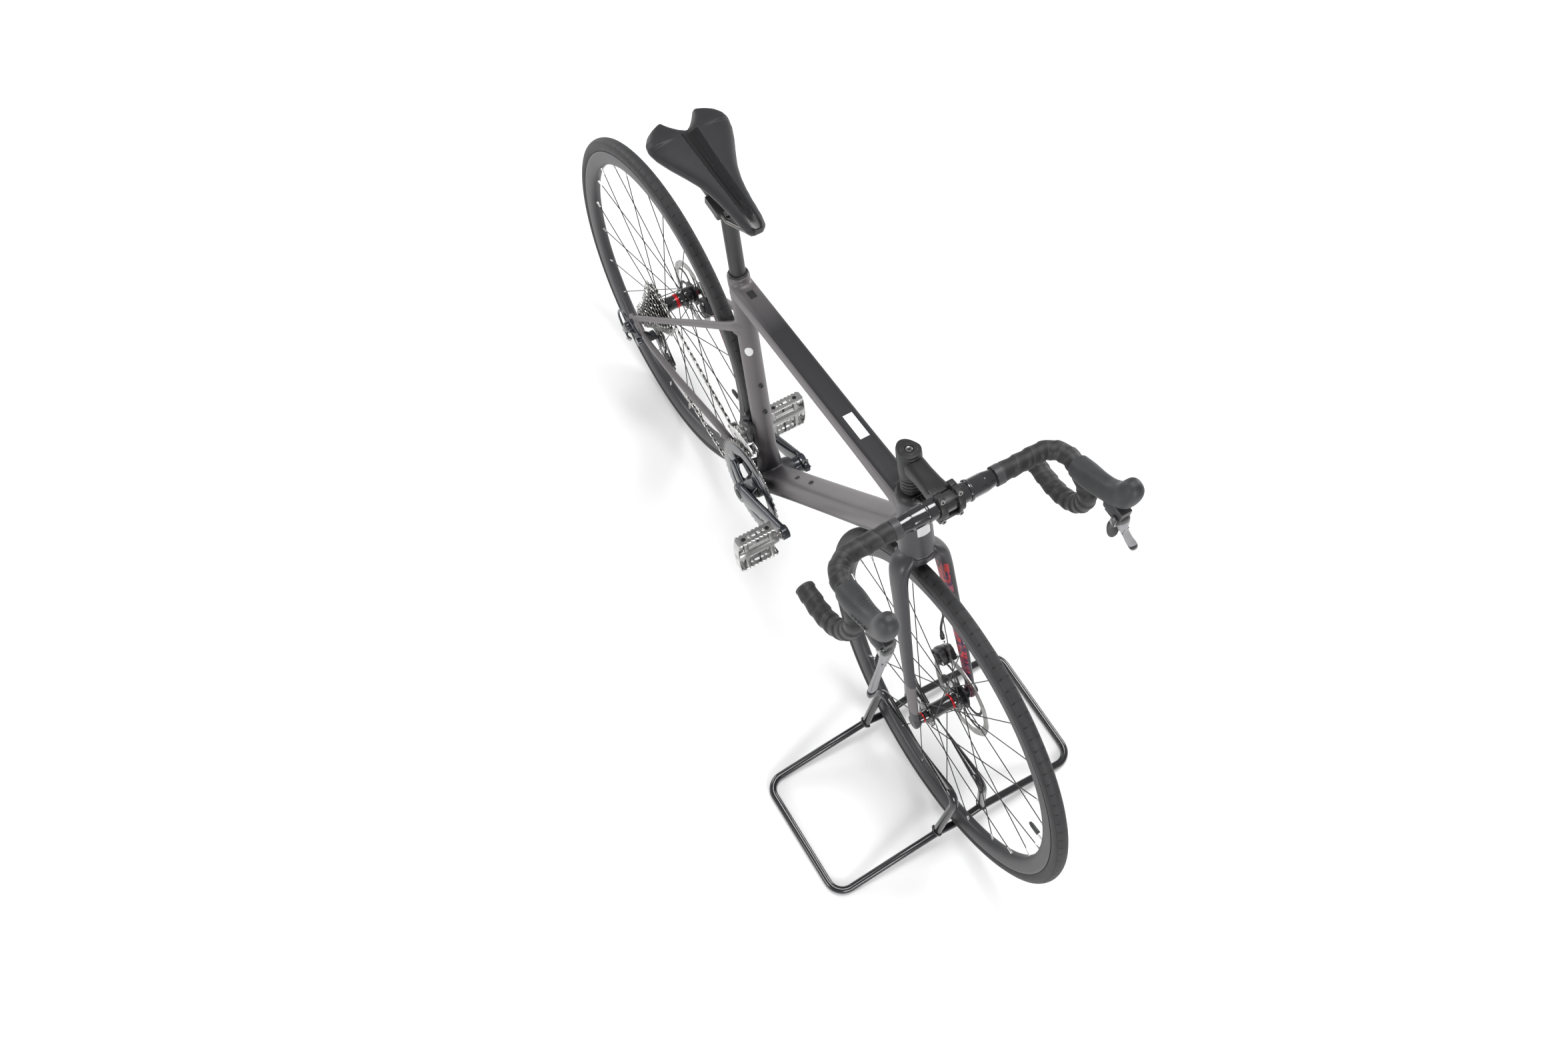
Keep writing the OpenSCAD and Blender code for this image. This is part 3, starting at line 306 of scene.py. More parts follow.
def nearest(p, pts):
    return min(range(len(pts)), key=lambda i: (pts[i][0] - p[0]) ** 2 + (pts[i][1] - p[1]) ** 2)


def spline(rows, steps):
    """A smooth curve through rows of numbers of any length."""
    out = []
    n = len(rows)
    for i in range(n - 1):
        a, b, c, d = rows[max(i - 1, 0)], rows[i], rows[i + 1], rows[min(i + 2, n - 1)]
        for k in range(steps):
            t = k / steps
            out.append([0.5 * (2 * q + (r - p) * t + (2 * p - 5 * q + 4 * r - s) * t * t
                               + (3 * q - p - 3 * r + s) * t ** 3) for p, q, r, s in zip(a, b, c, d)])
    out.append(list(rows[-1]))
    return out


def turns(n):
    """n angles round a full turn."""
    return [2 * pi * k / n for k in range(n)]


def circle_loop(cx, cy, r, n=16):
    return [(cx + r * cos(t), cy + r * sin(t)) for t in turns(n)]


def around(c, r, t, y=0.0):
    """The point at angle t and radius r about a centre, in the plane of the wheels."""
    return Vector((c[0] + r * cos(t), c[1] + y, c[2] + r * sin(t)))


def mix(a, b, t):
    return a + (b - a) * t


def smooth(t):
    t = min(max(t, 0.0), 1.0)
    return t * t * (3 - 2 * t)


# ---------------------------------------------------------------- materials


def feed(m, target, inputs):
    """Sets a node's inputs: each takes a number, a colour, a socket or a Value."""
    for name, v in inputs.items():
        v = v.socket if isinstance(v, Value) else v
        if isinstance(v, bpy.types.NodeSocket):
            m.node_tree.links.new(v, target.inputs[name])
        else:
            target.inputs[name].default_value = v


def node(m, kind, inputs=None, **settings):
    n = m.node_tree.nodes.new("ShaderNode" + kind)
    for name, value in settings.items():
        setattr(n, name, value)
    feed(m, n, inputs or {})
    return n


def surface(m):
    return m.node_tree.nodes["Principled BSDF"]


def operator(kind, swap=False):
    def method(a, b=None):
        terms = (b, a) if swap else (a, b)
        n = node(a.m, "Math", {i: t for i, t in enumerate(terms) if t is not None}, operation=kind)
        return Value(a.m, n.outputs[0])
    return method


class Value:
    """A number in a material's node tree, so that a mask reads as a formula."""

    def __init__(self, m, socket):
        self.m, self.socket = m, socket

    __add__ = operator("ADD")
    __sub__ = operator("SUBTRACT")
    __rsub__ = operator("SUBTRACT", swap=True)
    __mul__ = operator("MULTIPLY")
    __truediv__ = operator("DIVIDE")
    __lt__ = operator("LESS_THAN")
    __gt__ = operator("GREATER_THAN")
    __abs__ = operator("ABSOLUTE")
    atan2 = operator("ARCTAN2")
    fract = operator("FRACT")
    least = operator("MINIMUM")
    most = operator("MAXIMUM")
    root = operator("SQRT")

    def step(self, low, high):
        """0 below low, 1 above high."""
        n = node(self.m, "MapRange", {"From Min": low, "From Max": high, "Value": self})
        return Value(self.m, n.outputs["Result"])


def ramp(m, value, stops):
    """A colour ramp through stops of (place, colour)."""
    n = node(m, "ValToRGB", {"Fac": value})
    marks = n.color_ramp.elements
    while len(marks) < len(stops):
        marks.new(0.5)
    for mark, (place, color) in zip(marks, stops):
        mark.position = place
        mark.color = [*color, 1]
    return n.outputs["Color"]


def over(m, color, mask):
    """Mixes a colour, given as numbers or as a socket, over a material where the mask is 1."""
    base = surface(m).inputs["Base Color"].links[0].from_socket
    color = color if isinstance(color, bpy.types.NodeSocket) else [*color, 1]
    blend = node(m, "Mix", {"A": base, "B": color, "Factor": mask}, data_type="RGBA")
    feed(m, surface(m), {"Base Color": blend.outputs["Result"]})


def groove(m, mask, strength, distance):
    """Presses a mask into the surface, on top of the bump that is there."""
    below_it = surface(m).inputs["Normal"].links[0].from_socket
    press = node(m, "Bump", {"Strength": strength, "Distance": distance, "Height": mask,
                             "Normal": below_it}, invert=True)
    feed(m, surface(m), {"Normal": press.outputs["Normal"]})


def material(name, color, rough=0.5, metal=0.0, vary=0.12, patch=30, grain=900, bump=0.15,
             rough_vary=0.08, coat=0.0, sheen=0.0, wear=0.0, wear_color=None, depth=0.0002, spec=0.5):
    """A procedural surface: patchy colour and roughness, fine grain bump and lighter worn edges."""
    m = bpy.data.materials.new(name)
    m.use_nodes = True
    where = node(m, "TexCoord").outputs["Object"]
    patches = node(m, "TexNoise", {"Scale": patch, "Detail": 4, "Vector": where}).outputs["Fac"]
    fine = node(m, "TexNoise", {"Scale": grain, "Detail": 3, "Vector": where}).outputs["Fac"]
    dark, light = [c * (1 - vary) for c in color], [min(c * (1 + vary), 1) for c in color]
    gloss = node(m, "MapRange", {"To Min": max(rough - rough_vary, 0.03), "Value": fine,
                                 "To Max": min(rough + rough_vary, 1.0)})
    relief = node(m, "Bump", {"Strength": bump, "Distance": depth, "Height": fine})
    feed(m, surface(m), {"Base Color": ramp(m, patches, [(0.3, dark), (0.7, light)]), "Metallic": metal,
                         "Roughness": gloss.outputs["Result"], "Normal": relief.outputs["Normal"],
                         "Specular IOR Level": spec, "Coat Weight": coat, "Coat Roughness": 0.12,
                         "Sheen Weight": sheen, "Sheen Roughness": 0.4})
    if wear:
        edges = node(m, "NewGeometry").outputs["Pointiness"]
        over(m, wear_color or [min(c * 2.2 + 0.05, 1) for c in color],
             ramp(m, edges, [(0.52, (0, 0, 0)), (0.6, (wear, wear, wear))]))
    return m


def object_xyz(m):
    where = node(m, "TexCoord").outputs["Object"]
    return [Value(m, s) for s in node(m, "SeparateXYZ", {0: where}).outputs]


def coordinate(m, origin, axis):
    """Distance in metres along an axis from an origin given in millimetres."""
    parts = [(s - o * MM) * a for s, o, a in zip(object_xyz(m), origin, axis) if abs(a) >= 1e-6]
    return sum(parts[1:], parts[0])


def distance(a, b):
    return (a * a + b * b).root()


def between(value, low, high):
    return (value > low) * (value < high)


TAUPE = (0.122, 0.112, 0.117)
CHARCOAL = (0.02, 0.02, 0.022)
frame_paint = material("frame_paint", TAUPE, 0.44, 0.3, 0.05, 14, 2600, 0.08, 0.05, coat=0.05, wear=0.35,
                       wear_color=(0.26, 0.24, 0.25))
fork_paint = material("fork_paint", (0.036, 0.035, 0.039), 0.44, 0.3, 0.06, 14, 2600, 0.08, 0.05, coat=0.12,
                      wear=0.3)
black_alloy = material("black_alloy", (0.013, 0.013, 0.015), 0.36, 0.4, 0.15, 40, 1800, 0.12, 0.07,
                       wear=0.5)
black_matt = material("black_matt", (0.012, 0.012, 0.013), 0.45, 0.2, 0.15, 40, 1500, 0.15, 0.08, wear=0.4)
black_gloss = material("black_gloss", (0.012, 0.012, 0.014), 0.12, 0.0, 0.2, 50, 500, 0.05, 0.05, coat=0.6,
                       wear=0.3)
black_plastic = material("black_plastic", (0.018, 0.018, 0.02), 0.42, 0.0, 0.15, 60, 2200, 0.2, 0.08,
                         wear=0.3)
stand_paint = material("stand_paint", (0.008, 0.008, 0.01), 0.22, 0.0, 0.1, 12, 400, 0.02, 0.04, coat=0.35,
                       wear=0.12, wear_color=(0.16, 0.16, 0.16))
silver = material("silver", (0.52, 0.52, 0.515), 0.22, 1.0, 0.1, 60, 900, 0.12, 0.08, wear=0.4,
                  wear_color=(0.9, 0.9, 0.9))
cast_silver = material("cast_silver", (0.34, 0.34, 0.335), 0.32, 1.0, 0.14, 80, 1400, 0.3, 0.1, wear=0.5,
                       wear_color=(0.85, 0.85, 0.85))
steel_dull = material("steel_dull", (0.2, 0.195, 0.19), 0.34, 1.0, 0.2, 90, 1600, 0.2, 0.1, wear=0.3)
rotor_steel = material("rotor_steel", (0.42, 0.42, 0.41), 0.28, 1.0, 0.12, 60, 2200, 0.25, 0.1)
lever_grey = material("lever_grey", (0.27, 0.27, 0.28), 0.34, 0.7, 0.08, 40, 1800, 0.1, 0.06, wear=0.4)
crank_grey = material("crank_grey", (0.032, 0.035, 0.043), 0.22, 0.5, 0.12, 30, 1500, 0.08, 0.06, coat=0.3,
                      wear=0.4)
crank_dark = material("crank_dark", (0.016, 0.018, 0.024), 0.24, 0.3, 0.12, 30, 800, 0.05, 0.04, coat=0.5,
                      wear=0.2)
spoke_black = material("spoke_black", (0.012, 0.012, 0.013), 0.35, 0.3, 0.15, 50, 1500, 0.1, 0.08)
red_anodised = material("red_anodised", (0.55, 0.02, 0.025), 0.26, 0.7, 0.1, 40, 1500, 0.08, 0.06)
hose_black = material("hose_black", (0.014, 0.014, 0.015), 0.3, 0.0, 0.2, 60, 1200, 0.1, 0.08)
hood_rubber = material("hood_rubber", (0.02, 0.021, 0.023), 0.55, 0.0, 0.35, 35, 1800, 0.25, 0.08,
                       sheen=0.08, wear=0.35, wear_color=(0.12, 0.12, 0.125))
tape_rubber = material("tape_rubber", (0.008, 0.008, 0.009), 0.55, 0.0, 0.2, 60, 2600, 0.4, 0.08,
                       sheen=0.05, wear=0.35, wear_color=(0.05, 0.05, 0.052), depth=0.0003)
saddle_matt = material("saddle_matt", (0.012, 0.012, 0.014), 0.5, 0.0, 0.12, 40, 2400, 0.4, 0.06,
                       sheen=0.06, spec=0.4, depth=0.0003)
label_white = material("label_white", (0.78, 0.78, 0.8), 0.5, 0.0, 0.04, 40, 900, 0.05, 0.05)
chain_steel = material("chain_steel", (0.26, 0.255, 0.245), 0.24, 1.0, 0.25, 120, 1600, 0.15, 0.08,
                       wear=0.8, wear_color=(0.78, 0.78, 0.76))
cog_steel = material("cog_steel", (0.11, 0.107, 0.1), 0.26, 1.0, 0.25, 120, 1600, 0.15, 0.08, wear=0.6,
                     wear_color=(0.6, 0.6, 0.58))


def tyre_material(name, hub):
    """Rubber with angled sipes, dots and a fine shoulder line round the hub, painted dark as shade in the
    grooves.
    """
    m = material(name, (0.024, 0.024, 0.026), 0.62, 0.0, 0.2, 60, 2400, 0.3, 0.08, sheen=0.03, depth=0.0003,
                 spec=0.35)
    x, y, z = object_xyz(m)
    dx, dz = x - hub.x * MM, z - hub.z * MM
    blocks, block_length, lean = 104, 0.0205, 0.9 / 0.0107 / 10
    angle = dz.atan2(dx) / (2 * pi) * blocks
    side = abs(y)
    # 200 keeps both numbers positive before their whole part is dropped
    place = (angle + 200).fract() - 0.5
    slant = (angle + (side * lean + 200)).fract() - 0.5
    sipe = (abs(slant) < 0.07) * between(side, 0.0045, 0.0095)
    dot = distance(place * block_length, side - 0.0023) < 0.0009
    line = abs(side - 0.0106) < 0.0003
    tread = distance(dx, dz) > 0.326
    mark = sipe.most(dot).most(line) * tread
    # painted shade: the pressed-in sipes, dots and shoulder line are coloured near-black for the shade in
    # their grooves
    over(m, (0.006, 0.006, 0.006), mark)
    groove(m, mark, 0.9, 0.0008)
    return m


# ---------------------------------------------------------------- wheels


def spin(points):
    """Turns (radius, y) points into a lathe profile."""
    return [(y, r) for r, y in points]


def tyre_profile():
    pts = []
    for k in range(-15, 16):
        a = k * 9.2
        lift = 0.55 if abs(a) < 40 else (0.25 if abs(a) < 52 else 0)
        r = 13.3 + lift * 1.25
        pts.append((325 + r * cos(radians(a)), r * sin(radians(a))))
    pts += [(312.2, 10.15), (311.2, 9.2), (315, 7.5), (315, -7.5), (311.2, -9.2), (312.2, -10.15)]
    return spin(pts)


def rim_profile():
    half = [(288, 4), (289.2, 6.6), (292, 8.9), (296.5, 10.4), (302, 11.3), (308, 11.8), (312, 12),
            (315.4, 12), (316.4, 11.5), (316.4, 10.6), (311, 10.4), (310.4, 4), (306.5, 2.5)]
    other = [(r, -y) for r, y in reversed(half)]
    return spin(other[-1:] + half + other[:-1])


def make_wheel(prefix, hub, body, right_y, left_y):
    Shape().lathe(tyre_profile(), hub, 180).piece(prefix + "_tyre_visual", body,
                                                  tyre_material(prefix + "_tread", hub), "tyre",
                                                  prefix + "_tyre", sharp=55)
    Shape().lathe(rim_profile(), hub, 144).piece(prefix + "_rim_visual", body, rim_band(prefix, hub),
                                                 "rim_black", prefix + "_rim", sharp=50)
    nip = Shape()
    for i in range(24):
        a = radians(15 * i)
        pull = 1 if (i // 2) % 2 == 0 else -1
        fy = right_y if i % 2 == 0 else left_y
        p = around(hub, 21.5, a + radians(pull * 62), fy + pull * 2.8)
        q = around(hub, 287.9, a, 1.6 if fy > 0 else -1.6)
        d = (p - q).normalized()
        nip.turned([(-1.5, 2.4), (0.4, 2.4), (1.2, 1.9), (11, 1.75), (12.5, 1.2)], q, 10, 0, d, 0.01)
        nip.ball(p - d, 1.5, 8)
    nip.piece(prefix + "_nipples", body, silver, "pedal_silver")
    valve_at = radians(7.5)
    out = around(ORIGIN, 1, valve_at)
    foot = around(hub, 288.2, valve_at)
    valve = Shape().lathe([(-1, 0.01), (-1, 5.2), (1.4, 5.2), (1.4, 3), (14, 3), (14, 2.6), (15, 2.6)],
                          foot, 16, 0, -out, solid=False)
    valve.turned([(14.5, 3.6), (15.5, 4), (32, 3.7), (37, 2.6), (38.5, 1.4)], foot, 16, 1, -out, 0.01)
    valve.piece(prefix + "_valve", body, [silver, black_plastic], "black_plastic")


def rim_band(prefix, hub):
    """Dark anodised rim with a faint lighter band and fine turning lines."""
    m = material(prefix + "_rim_finish", (0.042, 0.042, 0.045), 0.42, 0.45, 0.12, 25, 1900, 0.12, 0.08,
                 wear=0.35)
    x, _, z = object_xyz(m)
    r = distance(x - hub.x * MM, z - hub.z * MM)
    line = ((r * 900).fract() < 0.3) * 0.35
    band = (r > 0.3128) * 0.6
    over(m, (0.075, 0.075, 0.078), line.most(band))
    return m


def rotor_visual(prefix, hub, y, r, body):
    """Drilled brake band with a wavy edge on curved arms, and its lock ring."""
    c = hub + LEFT * y

    def wave(radius, depth, n, shift):
        radii = [(radius - depth * (1 + cos(12 * t + shift)) / 2, t) for t in turns(n)]
        return [(q * cos(t), q * sin(t)) for q, t in radii]

    holes = [wave(r - 13.5, 1.2, 96, 1)]
    for i, a in enumerate(turns(36)):
        rr = r - (4.2, 7.4, 10.4)[i % 3]
        holes.append(circle_loop(rr * cos(a), rr * sin(a), 1.6 if i % 3 else 2.0, 10))
    s = Shape().plate(wave(r - 0.1, 0.9, 144, 0), disc_place(c, -0.85), 1.7, 0, holes)
    for a in turns(6):
        steps = [k / 8 for k in range(9)]
        s.sweep([around(c, mix(20, r - 12.5, t), a + 0.75 * t * t) for t in steps],
                [(mix(3.6, 2.6, t), 0.85) for t in steps], side=LEFT, n=8, power=4, mat=1)
    s.lathe([(-1.5, 12.3), (-1.5, 24), (-0.9, 25), (0.9, 25), (1.5, 24), (1.5, 12.3)], c, 48, 1)
    s.lathe([(1.2, 12.4), (1.2, 19.5), (3.6, 19.5), (4.2, 18.6), (4.2, 12.4)], c, 36, 2)
    for a in turns(18):
        s.block(around(c, 18.6, a, 3.4), (1.6, 2.2, 1.6), mat=2)
    s.piece(prefix + "_rotor_visual", body, [rotor_steel, black_alloy, black_alloy], "steel",
            prefix + "_rotor", bevel=0.15, segments=1)


def disc_place(c, y0):
    """The place of a disc's plate: in the plane of the wheels, with its right side at c's y plus y0."""
    return lambda x, z, t: c + Vector((x, y0 + t, z))


def hub_visual(prefix, hub, profile, rings, body):
    """Turned hub shell: glossy black with red rings."""
    s = Shape().lathe(profile, hub, 56)
    for y0, y1, r in rings:
        s.lathe([(y0, r - 0.4), (y0, r), (y0 + 0.4, r + 0.35), (y1 - 0.4, r + 0.35), (y1, r),
                 (y1, r - 0.4)], hub, 48, 1)
    s.piece(prefix + "_hub_visual", body, [black_gloss, red_anodised], "black_alloy", prefix + "_hub_body",
            bevel=0.3, sharp=35)


make_wheel("front", FRONT_HUB, "front_wheel", -32, 24)
make_wheel("rear", REAR_HUB, "rear_wheel", -11.5, 34)
rotor_visual("front", FRONT_HUB, 38, 80, "front_wheel")
rotor_visual("rear", REAR_HUB, 55, 70, "rear_wheel")
hub_visual("front", FRONT_HUB, [(-49.8, 6.2), (-49.8, 9), (-42, 9.4), (-41, 12), (-36, 12.6), (-34, 17),
                                (-33.6, 22), (-33, 22.6), (-31, 22.6), (-30.4, 22), (-29, 16), (-24, 14.4),
                                (-10, 13.2), (0, 12.9), (8, 13.4), (17, 14.6), (22, 17), (22.5, 22),
                                (23, 22.6), (25, 22.6), (25.6, 22), (26.5, 18), (36, 17), (36.5, 12.1),
                                (39.5, 12.1), (41, 9.2), (49.8, 9), (49.8, 6.2)],
           [(-44, -41.4, 9.6), (12.5, 16.5, 14.2)], "front_wheel")
hub_visual("rear", REAR_HUB, [(-17.6, 8.7), (-17.6, 14), (-15, 14), (-13.4, 17), (-13, 22), (-12.5, 22.6),
                              (-10.5, 22.6), (-10, 22), (-8, 17), (-2, 15), (10, 13.6), (22, 14.2),
                              (29, 16), (32, 18), (32.6, 22), (33, 22.6), (35, 22.6), (35.5, 22),
                              (37, 17.4), (42, 17), (53, 16.6), (53.4, 12.1), (58, 12), (60, 9), (70.8, 9),
                              (70.8, 6.2)], [(60.6, 63.4, 9.1), (14, 21, 14.0)], "rear_wheel")


# ---------------------------------------------------------------- stand


HALF_GAP, HALF_LENGTH, ROD = 124.0, 264.0, 7.0
WELD_Y, WELD_Z, TOP_Y, TOP_Z = 50.0, 41.0, 28.0, 190.0


def stand_base_line():
    """Middle line of the base's rod: round corners, and two cross bars bent down into a V."""
    corner = 30.0
    vee_z = cad_vee()

    def bend(sx, sy, start):
        return [(FRONT_HUB.x + sx * (HALF_GAP - corner) + corner * cos(radians(a)),
                 sy * (HALF_LENGTH - corner) + corner * sin(radians(a)), ROD)
                for a in range(start, start + 91, 10)]

    def cross(k):
        half = [(150, mix(ROD, WELD_Z, 0.48)), (50, 40.3), (45, mix(vee_z, WELD_Z, 0.9)),
                (6, mix(vee_z, WELD_Z, 0.13))]
        line = [(-y, z) for y, z in half] + [(0, vee_z + 1.0)] + list(reversed(half))
        return [(FRONT_HUB.x + k * HALF_GAP, k * y, z) for y, z in line]

    return bend(1, -1, -90) + cross(1) + bend(1, 1, 0) + bend(-1, 1, 90) + cross(-1) + bend(-1, -1, 180)


def add_hoop(s, m):
    """A hoop beside the tyre, leaning in from its two welds on the cross bars."""
    lean = Vector((0, -m * (WELD_Y - TOP_Y), TOP_Z - WELD_Z)).normalized()
    rise = hypot(WELD_Y - TOP_Y, TOP_Z - WELD_Z)
    foot = Vector((FRONT_HUB.x, m * WELD_Y, WELD_Z))
    corner, radius = 24.0, 8.0
    run = HALF_GAP - corner - 2

    def point(x, up):
        return foot + AHEAD * x + lean * up

    half = [(run + corner, up) for up in (6.4, 12, 20, 50, 90, rise - corner - 8)]
    half += [(run + corner * cos(radians(a)), rise - corner + corner * sin(radians(a)))
             for a in range(0, 91, 9)]
    pts = [point(-x, up) for x, up in half] + [point(x, up) for x, up in reversed(half)]
    flattened = [(3.6, 9.6), (4.6, 9.4), (6.6, 8.8)]
    middle = [(radius, radius)] * (len(pts) - 2 * len(flattened))
    s.sweep(pts, flattened + middle + flattened[::-1], side=AHEAD, n=24)
    for k in (-1, 1):
        for q, t in enumerate(turns(16)):
            bead = Vector((10.2 * cos(t), 5.0 * sin(t), 0)) - lean * (0.6 + 1.8 * abs(sin(t)))
            s.ball(point(k * (run + corner), 7.0) + bead, 2.3 + 0.5 * sin(q * 2.4), 8)


def stand_visual():
    Shape().sweep(stand_base_line(), ROD, side=UP, n=24, closed=True).piece("stand_base_visual", "stand",
                                                                            stand_paint, "stand_black",
                                                                            "stand_base", sharp=60)
    s = Shape()
    for m in (1, -1):
        add_hoop(s, m)
    s.piece("stand_hoops_visual", "stand", stand_paint, "stand_black", "stand_hoops", sharp=60)


def cad_vee():
    """Height of the rod's centre at the middle of the base's V, where the tyre rests."""
    tyre_radius, tyre_half, clearance, slope = 339, 14, 0.4, radians(17)
    reach = tyre_radius - tyre_half + (tyre_half + ROD + clearance) / cos(slope)
    return FRONT_HUB.z - sqrt(reach ** 2 - HALF_GAP ** 2)


stand_visual()


# ---------------------------------------------------------------- frame and fork

HEAD_LOW = steer(0, 0, 374)
HEAD_HIGH = steer(0, 0, 494)
DOWN_HEAD = steer(0, 0, 415)
TOP_HEAD = steer(0, 0, 468)
TOP_SEAT = CRANK + SEAT_UP * 470
DOWN_DIR = (DOWN_HEAD - CRANK).normalized()
TOP_DIR = (TOP_HEAD - TOP_SEAT).normalized()
DOWN_OUT = Vector((-DOWN_DIR.z, 0, DOWN_DIR.x))
TOP_OUT = Vector((-TOP_DIR.z, 0, TOP_DIR.x))


def line(p, q, n):
    return [p + (q - p) * (i / (n - 1)) for i in range(n)]


def frame_shape():
    """The frame's tubes and stays, run into each other. It becomes one skin when remeshed."""
    s = Shape()
    s.sweep(line(HEAD_LOW, HEAD_HIGH, 9),
            [(r, r) for r in (29, 28.6, 28, 27.4, 26.9, 26.5, 26.2, 26, 26.2)], side=LEFT, n=48)
    n = 15
    taper = [abs(2 * i / (n - 1) - 1) ** 3 for i in range(n)]
    front = [t * (i > n // 2) for i, t in enumerate(taper)]
    s.sweep(line(TOP_SEAT, TOP_HEAD, n), [(17 + 3.5 * t, 21 + 2 * t) for t in front], side=LEFT, n=40,
            power=4.2)
    s.sweep(line(CRANK, DOWN_HEAD, n), [(20 + 4 * t, 27 if i > 10 else 28) for i, t in enumerate(taper)],
            side=LEFT, n=40, power=3.6)
    s.sweep(line(CRANK, CRANK + SEAT_UP * 494, 12), [(21, 23.5)] * 2 + [(18.5, 18.5)] * 10, side=LEFT, n=40)
    s.turned([(470, 18.6), (478, 19.4), (492, 19.6), (498, 19.2)], CRANK, 40, 0, SEAT_UP)
    s.sweep([CRANK + Vector((0, y, 0)) for y in (-43, -30, 0, 30, 43)],
            [(23, 23), (24.5, 24.5), (26, 26), (24.5, 24.5), (23, 23)], side=UP, n=40)
    s.sweep([CRANK + SEAT_UP * 480, TOP_SEAT + TOP_DIR * 22, TOP_SEAT + TOP_DIR * 80],
            [(16, 17), (17, 20), (14, 19)], side=LEFT, n=32, power=2.8)
    s.sweep([DOWN_HEAD - DOWN_DIR * 110, DOWN_HEAD - DOWN_DIR * 40, steer(0, 0, 404)],
            [(18, 26), (24, 27), (26, 27)], side=LEFT, n=32, power=3)
    s.sweep([TOP_HEAD - TOP_DIR * 90, TOP_HEAD - TOP_DIR * 40, steer(0, 0, 462)],
            [(16, 20), (20, 23), (22, 25)], side=LEFT, n=32, power=3)
    s.sweep([CRANK + DOWN_DIR * 70, CRANK + Vector((6, 0, 24)), CRANK + SEAT_UP * 70],
            [(14, 17), (18, 20), (12, 14)], side=LEFT, n=28)
    chain_rows = [[-78, 24, 264, 16, 11], [-100, 26, 265, 15, 8.5], [-140, 27, 272, 13, 6.6],
                  [-190, 31, 282, 12, 6.5], [-260, 44, 297, 10.5, 6.5], [-340, 60, 313, 10, 6.5],
                  [-410, 71, 328, 9.3, 5.5], [-455, 75, 336, 9, 3.9], [-478, 75, 339, 9, 3.9]]
    seat_rows = [[-188, 9, 650, 9, 10], [-200, 17, 634, 9.5, 8.5], [-240, 26, 592, 7.5, 6.5],
                 [-300, 38, 531, 7, 6], [-400, 60, 430, 6.2, 5.2], [-462, 73.5, 368, 6.6, 4.1],
                 [-476, 75, 344, 8, 3.9]]
    for m in (1, -1):
        for rows in (chain_rows, seat_rows):
            s.loft(rows, 5, lambda x, y, z: (x, m * y, z), side=LEFT, n=24, power=2.4)
        s.turned([(71, 14.6), (79, 14.6)], REAR_HUB, 40, 0, (0, m, 0))
        s.sweep([(-474, m * 75, 352), (-462, m * 74.6, 350), (-448, m * 74, 337)],
                [(7, 3.6), (9, 3.6), (6, 3.6)], side=LEFT, n=16, power=3)
    s.sweep([(-190, 22, 633), (-197, 0, 631), (-190, -22, 633)], [(8, 9), (9, 9), (8, 9)], side=UP, n=20)
    s.sweep([(-128, 26, 272), (-122, 0, 273), (-128, -26, 272)], [(9, 12), (9, 12), (9, 12)], side=UP, n=20)
    return s


def normal_along(m, axis):
    normal = node(m, "TexCoord").outputs["Normal"]
    dot = node(m, "VectorMath", {0: normal, 1: axis}, operation="DOT_PRODUCT")
    return Value(m, dot.outputs["Value"])


def streaks(m, where, facing):
    """Red, pink and purple drifting streaks where the mask and the facing allow."""
    place = node(m, "Mapping", {"Scale": (8, 24, 17), "Rotation": (0, 0.9, 0),
                                "Vector": node(m, "TexCoord").outputs["Object"]})
    drift = node(m, "TexNoise", {"Scale": 1.6, "Detail": 5, "Distortion": 1.8,
                                 "Vector": place.outputs["Vector"]})
    colors = ramp(m, drift.outputs["Fac"], [(0.3, (0.035, 0.02, 0.045)), (0.43, (0.06, 0.02, 0.075)),
                                            (0.455, (0.5, 0.03, 0.035)), (0.51, (0.6, 0.04, 0.04)),
                                            (0.53, (0.06, 0.025, 0.08)), (0.6, (0.045, 0.02, 0.06)),
                                            (0.63, (0.5, 0.1, 0.14)), (0.7, (0.05, 0.02, 0.06))])
    over(m, colors, where * facing)


